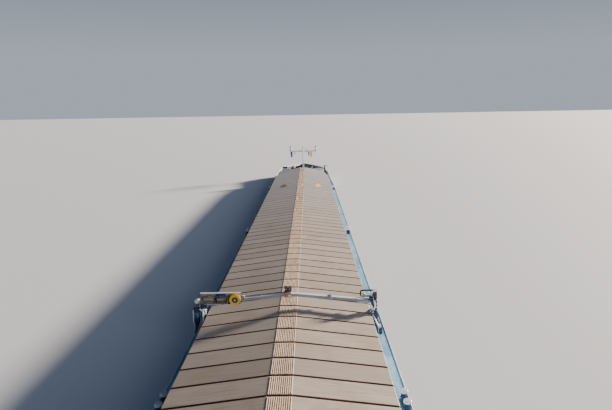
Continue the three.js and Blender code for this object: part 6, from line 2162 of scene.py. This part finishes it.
def stern_wall():
    """The stern bulwark, with its knees and fairleads."""
    parts = bulwark(STERN_RAIL, lambda x: DECK, from_fore=True)
    parts += knees(STERN_RAIL, lambda x: DECK, (-51.75, -50.9, -49.9, -48.7), 0.6)
    for y in (-0.9, 0.0, 0.9):
        parts.append(gusset((TRANSOM + 0.08, y, DECK), 0.28, 0.6, WHITE))
    lead = ring((0, 0, 0), AHEAD, 0.11, 0.035, NAVY)
    lead.data.transform(Matrix.Diagonal((1, 1.5, 1.3, 1)))
    parts += spread(lead, [(TRANSOM + 0.035, y, DECK + 0.42) for y in (-1.1, 1.1)])
    in_place_of("stern_bulwark", parts, "hull", "white_paint")


def stern_winch():
    """Mooring winch: rope on its drum, a gear wheel, a brake band, a motor and a hand wheel."""
    x, z = -50.6, DECK + 0.003
    high = z + 0.4
    parts = [
        plate((x - 0.4, -0.7, z), (x + 0.4, 0.7, z + 0.05), GREY, 0.01),
        *bolts([(x + dx, y, z + 0.05) for dx in (-0.35, 0.35) for y in (-0.62, -0.2, 0.2, 0.62)], UP, 0.04),
    ]
    for y in (-0.55, 0.55):
        parts += [
            cheek(x, y, z + 0.03, z + 0.5, 0.25, 0.03, 0.4, 0.012),
            lathed([(0, -0.05), (0.1, -0.05), (0.1, 0.05), (0, 0.05)], (x, y, high), ABEAM, GREY),
        ]
    drum = [(0.06, -0.5), (0.32, -0.48), (0.32, -0.43), (0.2, -0.42), (0.2, 0.42), (0.32, 0.43), (0.32, 0.48),
            (0.06, 0.5)]
    parts += [
        lathed(drum, (x, 0, high), ABEAM, GREY, 32),
        *[ring((x, -0.4 + 0.045 * k, high), ABEAM, 0.215, 0.024, CREAM, 32) for k in range(19)],
        *[ring((x, -0.38 + 0.045 * k, high), ABEAM, 0.25, 0.024, CREAM, 32) for k in range(9)],
        ring((x, 0.455, high), ABEAM, 0.305, 0.02, SLATE, 32),
        rod((x, -0.8, high), (x, 0.75, high), 0.06, ZINC, 16),
    ]
    tooth = plate((x - 0.012, -0.48, high + 0.3), (x + 0.012, -0.43, high + 0.335), SLATE, 0.004)
    parts += [copied(tooth, turn=radians(12 * k), axis="Y", about=(x, 0, high)) for k in range(30)]
    scrap(tooth)
    motor = [(0, 0), (0.07, 0), (0.09, 0.02), (0.09, 0.2), (0.07, 0.24), (0, 0.24)]
    parts += [
        lathed(motor, (x + 0.22, -0.62, z + 0.2), (0, -1, 0), NAVY, 20),
        hand_wheel((x - 0.3, 0.45, z + 0.5), (-0.4, 0, 1), 0.1, RED),
        rod((x - 0.25, 0.45, z + 0.1), (x - 0.29, 0.45, z + 0.48), 0.014, ZINC),
    ]
    in_place_of("stern_winch", parts, "hull", "grey_paint")


def stern_fittings():
    """The stern anchor and the flagstaff."""
    one = anchor()
    one.data.transform(Matrix.Diagonal((0.95, 0.94, 0.63, 1)))
    hung = spread(one, [(TRANSOM - 0.003, 0, 2.955)], turn=radians(90))
    in_place_of("stern_anchor", hung, "hull", "black_steel")
    foot = [(0, 0), (0.12, 0), (0.12, 0.02), (0.05, 0.04), (0.05, 0.3), (0.035, 0.31), (0, 0.31)]
    parts = [
        lathed(foot, (-51.9, 0, DECK + 0.003), UP, ZINC),
        rod((-51.905, 0, DECK + 0.1), (-52.09, 0, 5.93), 0.03, WHITE, 16, end_radius=0.018),
    ]
    truck = [(0, 0), (0.02, 0), (0.045, 0.02), (0.05, 0.045), (0.035, 0.07), (0, 0.075)]
    parts.append(lathed(truck, (-52.09, 0, 5.92), UP, WHITE))
    cleat = [(-51.93, 0.03, 3.75), (-51.93, 0.06, 3.78), (-51.95, 0.06, 3.92), (-51.95, 0.03, 3.95)]
    parts.append(pipe(cleat, 0.008, ZINC, 0.02))
    in_place_of("flagstaff", parts, "hull", "white_paint")


def engine():
    """Six-cylinder diesel: crankcase, heads with their covers, manifold, turbocharger, gearbox, feet."""
    aft, fore, y, low = -44.05, -41.62, 0.42, 1.0
    parts = [
        plate((aft + 0.45, -y, low + 0.25), (fore - 0.1, y, low + 0.95), ENGINE_GREEN, 0.03),
        plate((aft + 0.5, -0.3, low + 0.02), (fore - 0.15, 0.3, low + 0.3), ENGINE_GREEN, 0.05),
    ]
    for k in range(6):
        x = aft + 0.68 + 0.31 * k
        parts += [
            eased((x - 0.13, -0.26, low + 0.93), (x + 0.13, 0.26, low + 1.2), 0.04, 2, ENGINE_GREEN, 0.012),
            eased((x - 0.11, -0.2, low + 1.19), (x + 0.11, 0.2, low + 1.34), 0.05, 2, ZINC, 0.02),
            pipe([(x, 0.2, low + 1.08), (x, 0.4, low + 1.08)], 0.05, RUST),
            eased((x - 0.1, -y - 0.015, low + 0.45), (x + 0.1, -y + 0.01, low + 0.8), 0.03, 1, ENGINE_GREEN,
                  0.006),
        ]
    parts.append(pipe([(aft + 0.6, 0.43, low + 1.08), (fore - 0.3, 0.43, low + 1.08)], 0.09, RUST))
    scroll = [(0, 0), (0.14, 0), (0.2, 0.05), (0.2, 0.14), (0.13, 0.19), (0.1, 0.3), (0, 0.3)]
    parts += [
        lathed(scroll, (fore - 0.32, 0.3, low + 1.26), AHEAD, ZINC, 24),
        lathed([(0, 0), (0.42, 0), (0.42, 0.12), (0.36, 0.16), (0, 0.16)], (aft + 0.46, 0, low + 0.6), ASTERN,
               ENGINE_GREEN, 28),
        plate((aft, -0.3, low + 0.2), (aft + 0.32, 0.3, low + 0.95), ENGINE_GREEN, 0.06),
        *[plate((x - 0.12, side * 0.48 - 0.07, low), (x + 0.12, side * 0.48 + 0.07, low + 0.3), SLATE, 0.012)
          for x in (aft + 0.7, fore - 0.4) for side in (1, -1)],
        pipe([(fore - 0.1, -0.2, low + 0.5), (fore - 0.03, -0.2, low + 0.5), (fore - 0.03, -0.2, low + 1.1),
              (fore - 0.3, -0.3, low + 1.25)], 0.04, ZINC, 0.08),
    ]
    in_place_of("engine", parts, "hull", "engine_iron")


def propeller():
    """Five-bladed bronze propeller: blades as foils on cylinders, their pitch falling towards the tip."""
    x, y, z = PROPELLER
    rows = []
    for radius, chord, sweep in (
        (0.11, 0.28, 0.0), (0.2, 0.34, 0.0), (0.32, 0.42, 0.01), (0.44, 0.46, 0.02), (0.56, 0.46, 0.03),
        (0.66, 0.42, 0.03), (0.73, 0.34, 0.02), (0.78, 0.2, 0.01), (0.795, 0.08, 0.0),
    ):
        angle = 1.0 - 0.42 * radius
        thick = 0.026 - 0.026 * radius
        row = []
        for k in range(16):
            a = radians(22.5 * k)
            along, off = 0.5 * chord * cos(a) + sweep, thick * sin(a) * (0.6 + 0.4 * cos(a) ** 2)
            turn = (along * sin(angle) + off * cos(angle)) / radius
            forth = along * cos(angle) - off * sin(angle)
            row.append((x + forth, y + radius * sin(turn), z + radius * cos(turn)))
        rows.append(row + row[:1])
    bent(rows, around=True)
    blade = finished(BRONZE, smooth=60)
    parts = [copied(blade, turn=radians(72 * k), axis="X", about=PROPELLER) for k in range(5)]
    scrap(blade)
    hub = [(0, 0.397), (0.17, 0.397), (0.18, 0.3), (0.17, 0.0), (0.14, -0.2), (0.08, -0.32), (0, -0.36)]
    parts.append(lathed(hub, PROPELLER, AHEAD, BRONZE, 32))
    in_place_of("propeller", parts, "propeller", "bronze")


def steering_gear():
    """The nozzle round the propeller, and the two balanced rudders behind it between their end plates."""
    foil = [(0.86, -0.45), (0.895, -0.45), (0.925, -0.25), (0.95, 0.0), (0.955, 0.2), (0.95, 0.35),
            (0.93, 0.43), (0.905, 0.45), (0.88, 0.42), (0.865, 0.34), (0.86, 0.22), (0.86, -0.45)]
    parts = [
        lathed(foil, PROPELLER, AHEAD, HULL, 48),
        plate((-48.0, -0.25, 1.9), (-47.45, 0.25, 1.99), HULL, 0.02),
    ]
    in_place_of("nozzle", parts, "hull", "hull_paint")
    x, y = -49.6, 0.5
    blade_line = [(0.45, 0), (0.43, 0.03), (0.36, 0.06), (0.22, 0.085), (0, 0.09), (-0.25, 0.075),
                  (-0.5, 0.05), (-0.75, 0.03), (-0.95, 0.012)]
    outline = blade_line + [(a, -b) for a, b in reversed(blade_line[1:])]
    bent([[(x + a, y + b, h) for a, b in outline + outline[:1]] for h in (0.25, 0.8, 1.35, 1.88)],
         around=True)
    parts = [
        finished(HULL, smooth=50),
        *[eased((x - 0.97, y - 0.11, h), (x + 0.4, y + 0.11, h + 0.04), 0.05, 2, HULL, 0.008)
          for h in (0.22, 1.86)],
        rod((x, y, 1.85), (x, y, 2.048), 0.07, ZINC, 20),
        *[rod((x + dx, y, 1.89), (x + dx, y, 1.92), 0.03, ZINC, 6) for dx in (-0.16, 0.16)],
    ]
    blade = joined("rudder", parts)
    twin = copied(blade, (0, -2 * y, 0))
    in_place_of("rudder_port", [blade], "rudder_port", "hull_paint")
    in_place_of("rudder_starboard", [twin], "rudder_starboard", "hull_paint")


for make in (
    hatch_covers, hull, hatch_crane, bow_wall, windlass, fore_hatch, mast_base, mast, anchors,
    fore_board, bow_post, deckhouse, deckhouse_roof, doors, wheelhouse, wheelhouse_roof,
    wheelhouse_inside, platform, stern_wall, stern_winch, stern_fittings, engine, propeller,
    steering_gear,
):
    make()


# Floor, at the waterline, and light

FLOOR_WIDE = 400  # metres of the model
SKY_STRENGTH = 0.58
LOW_SUN = (48, 10.6, 17.3, 4.5, "#fff0e0")  # azimuth, height, energy, width, colour
SIDE_LIGHT = (150, 8, 2.4, 40, "#e2ebf8")

free()
bpy.ops.mesh.primitive_plane_add(size=FLOOR_WIDE, location=at((0, 0, WATERLINE)))
floor = bpy.context.object
floor.name = "floor"
paper = finish("pale_studio_floor", "#dcdfe2", 0.9)
floor.data.materials.append(paper)


def sunlight(azimuth, height, energy, wide, code):
    """A sun: its azimuth to starboard of ahead, its height and its width are in degrees."""
    turn, rise = radians(azimuth), radians(height)
    to_sun = Vector((cos(rise) * cos(turn), -cos(rise) * sin(turn), sin(rise)))
    bpy.ops.object.light_add(type="SUN", location=to_sun * 20)
    sun = bpy.context.object
    sun.rotation_euler = to_sun.to_track_quat("Z", "Y").to_euler()
    sun.data.energy = energy
    sun.data.angle = radians(wide)
    sun.data.color = linear(code)[:3]


sunlight(*LOW_SUN)
sunlight(*SIDE_LIGHT)
world = bpy.data.worlds.new("studio")
bpy.context.scene.world = world
world.use_nodes = True
up = node(world, "SeparateXYZ", {"Vector": node(world, "TexCoord", {}, "Generated")}, "Z")
rising = node(world, "MapRange", {"Value": up, "From Min": 0.1, "From Max": 0.45})
background = world.node_tree.nodes["Background"].inputs
world.node_tree.links.new(stained(world, "#d8e4f2", "#3d5070", rising), background["Color"])
background["Strength"].default_value = SKY_STRENGTH
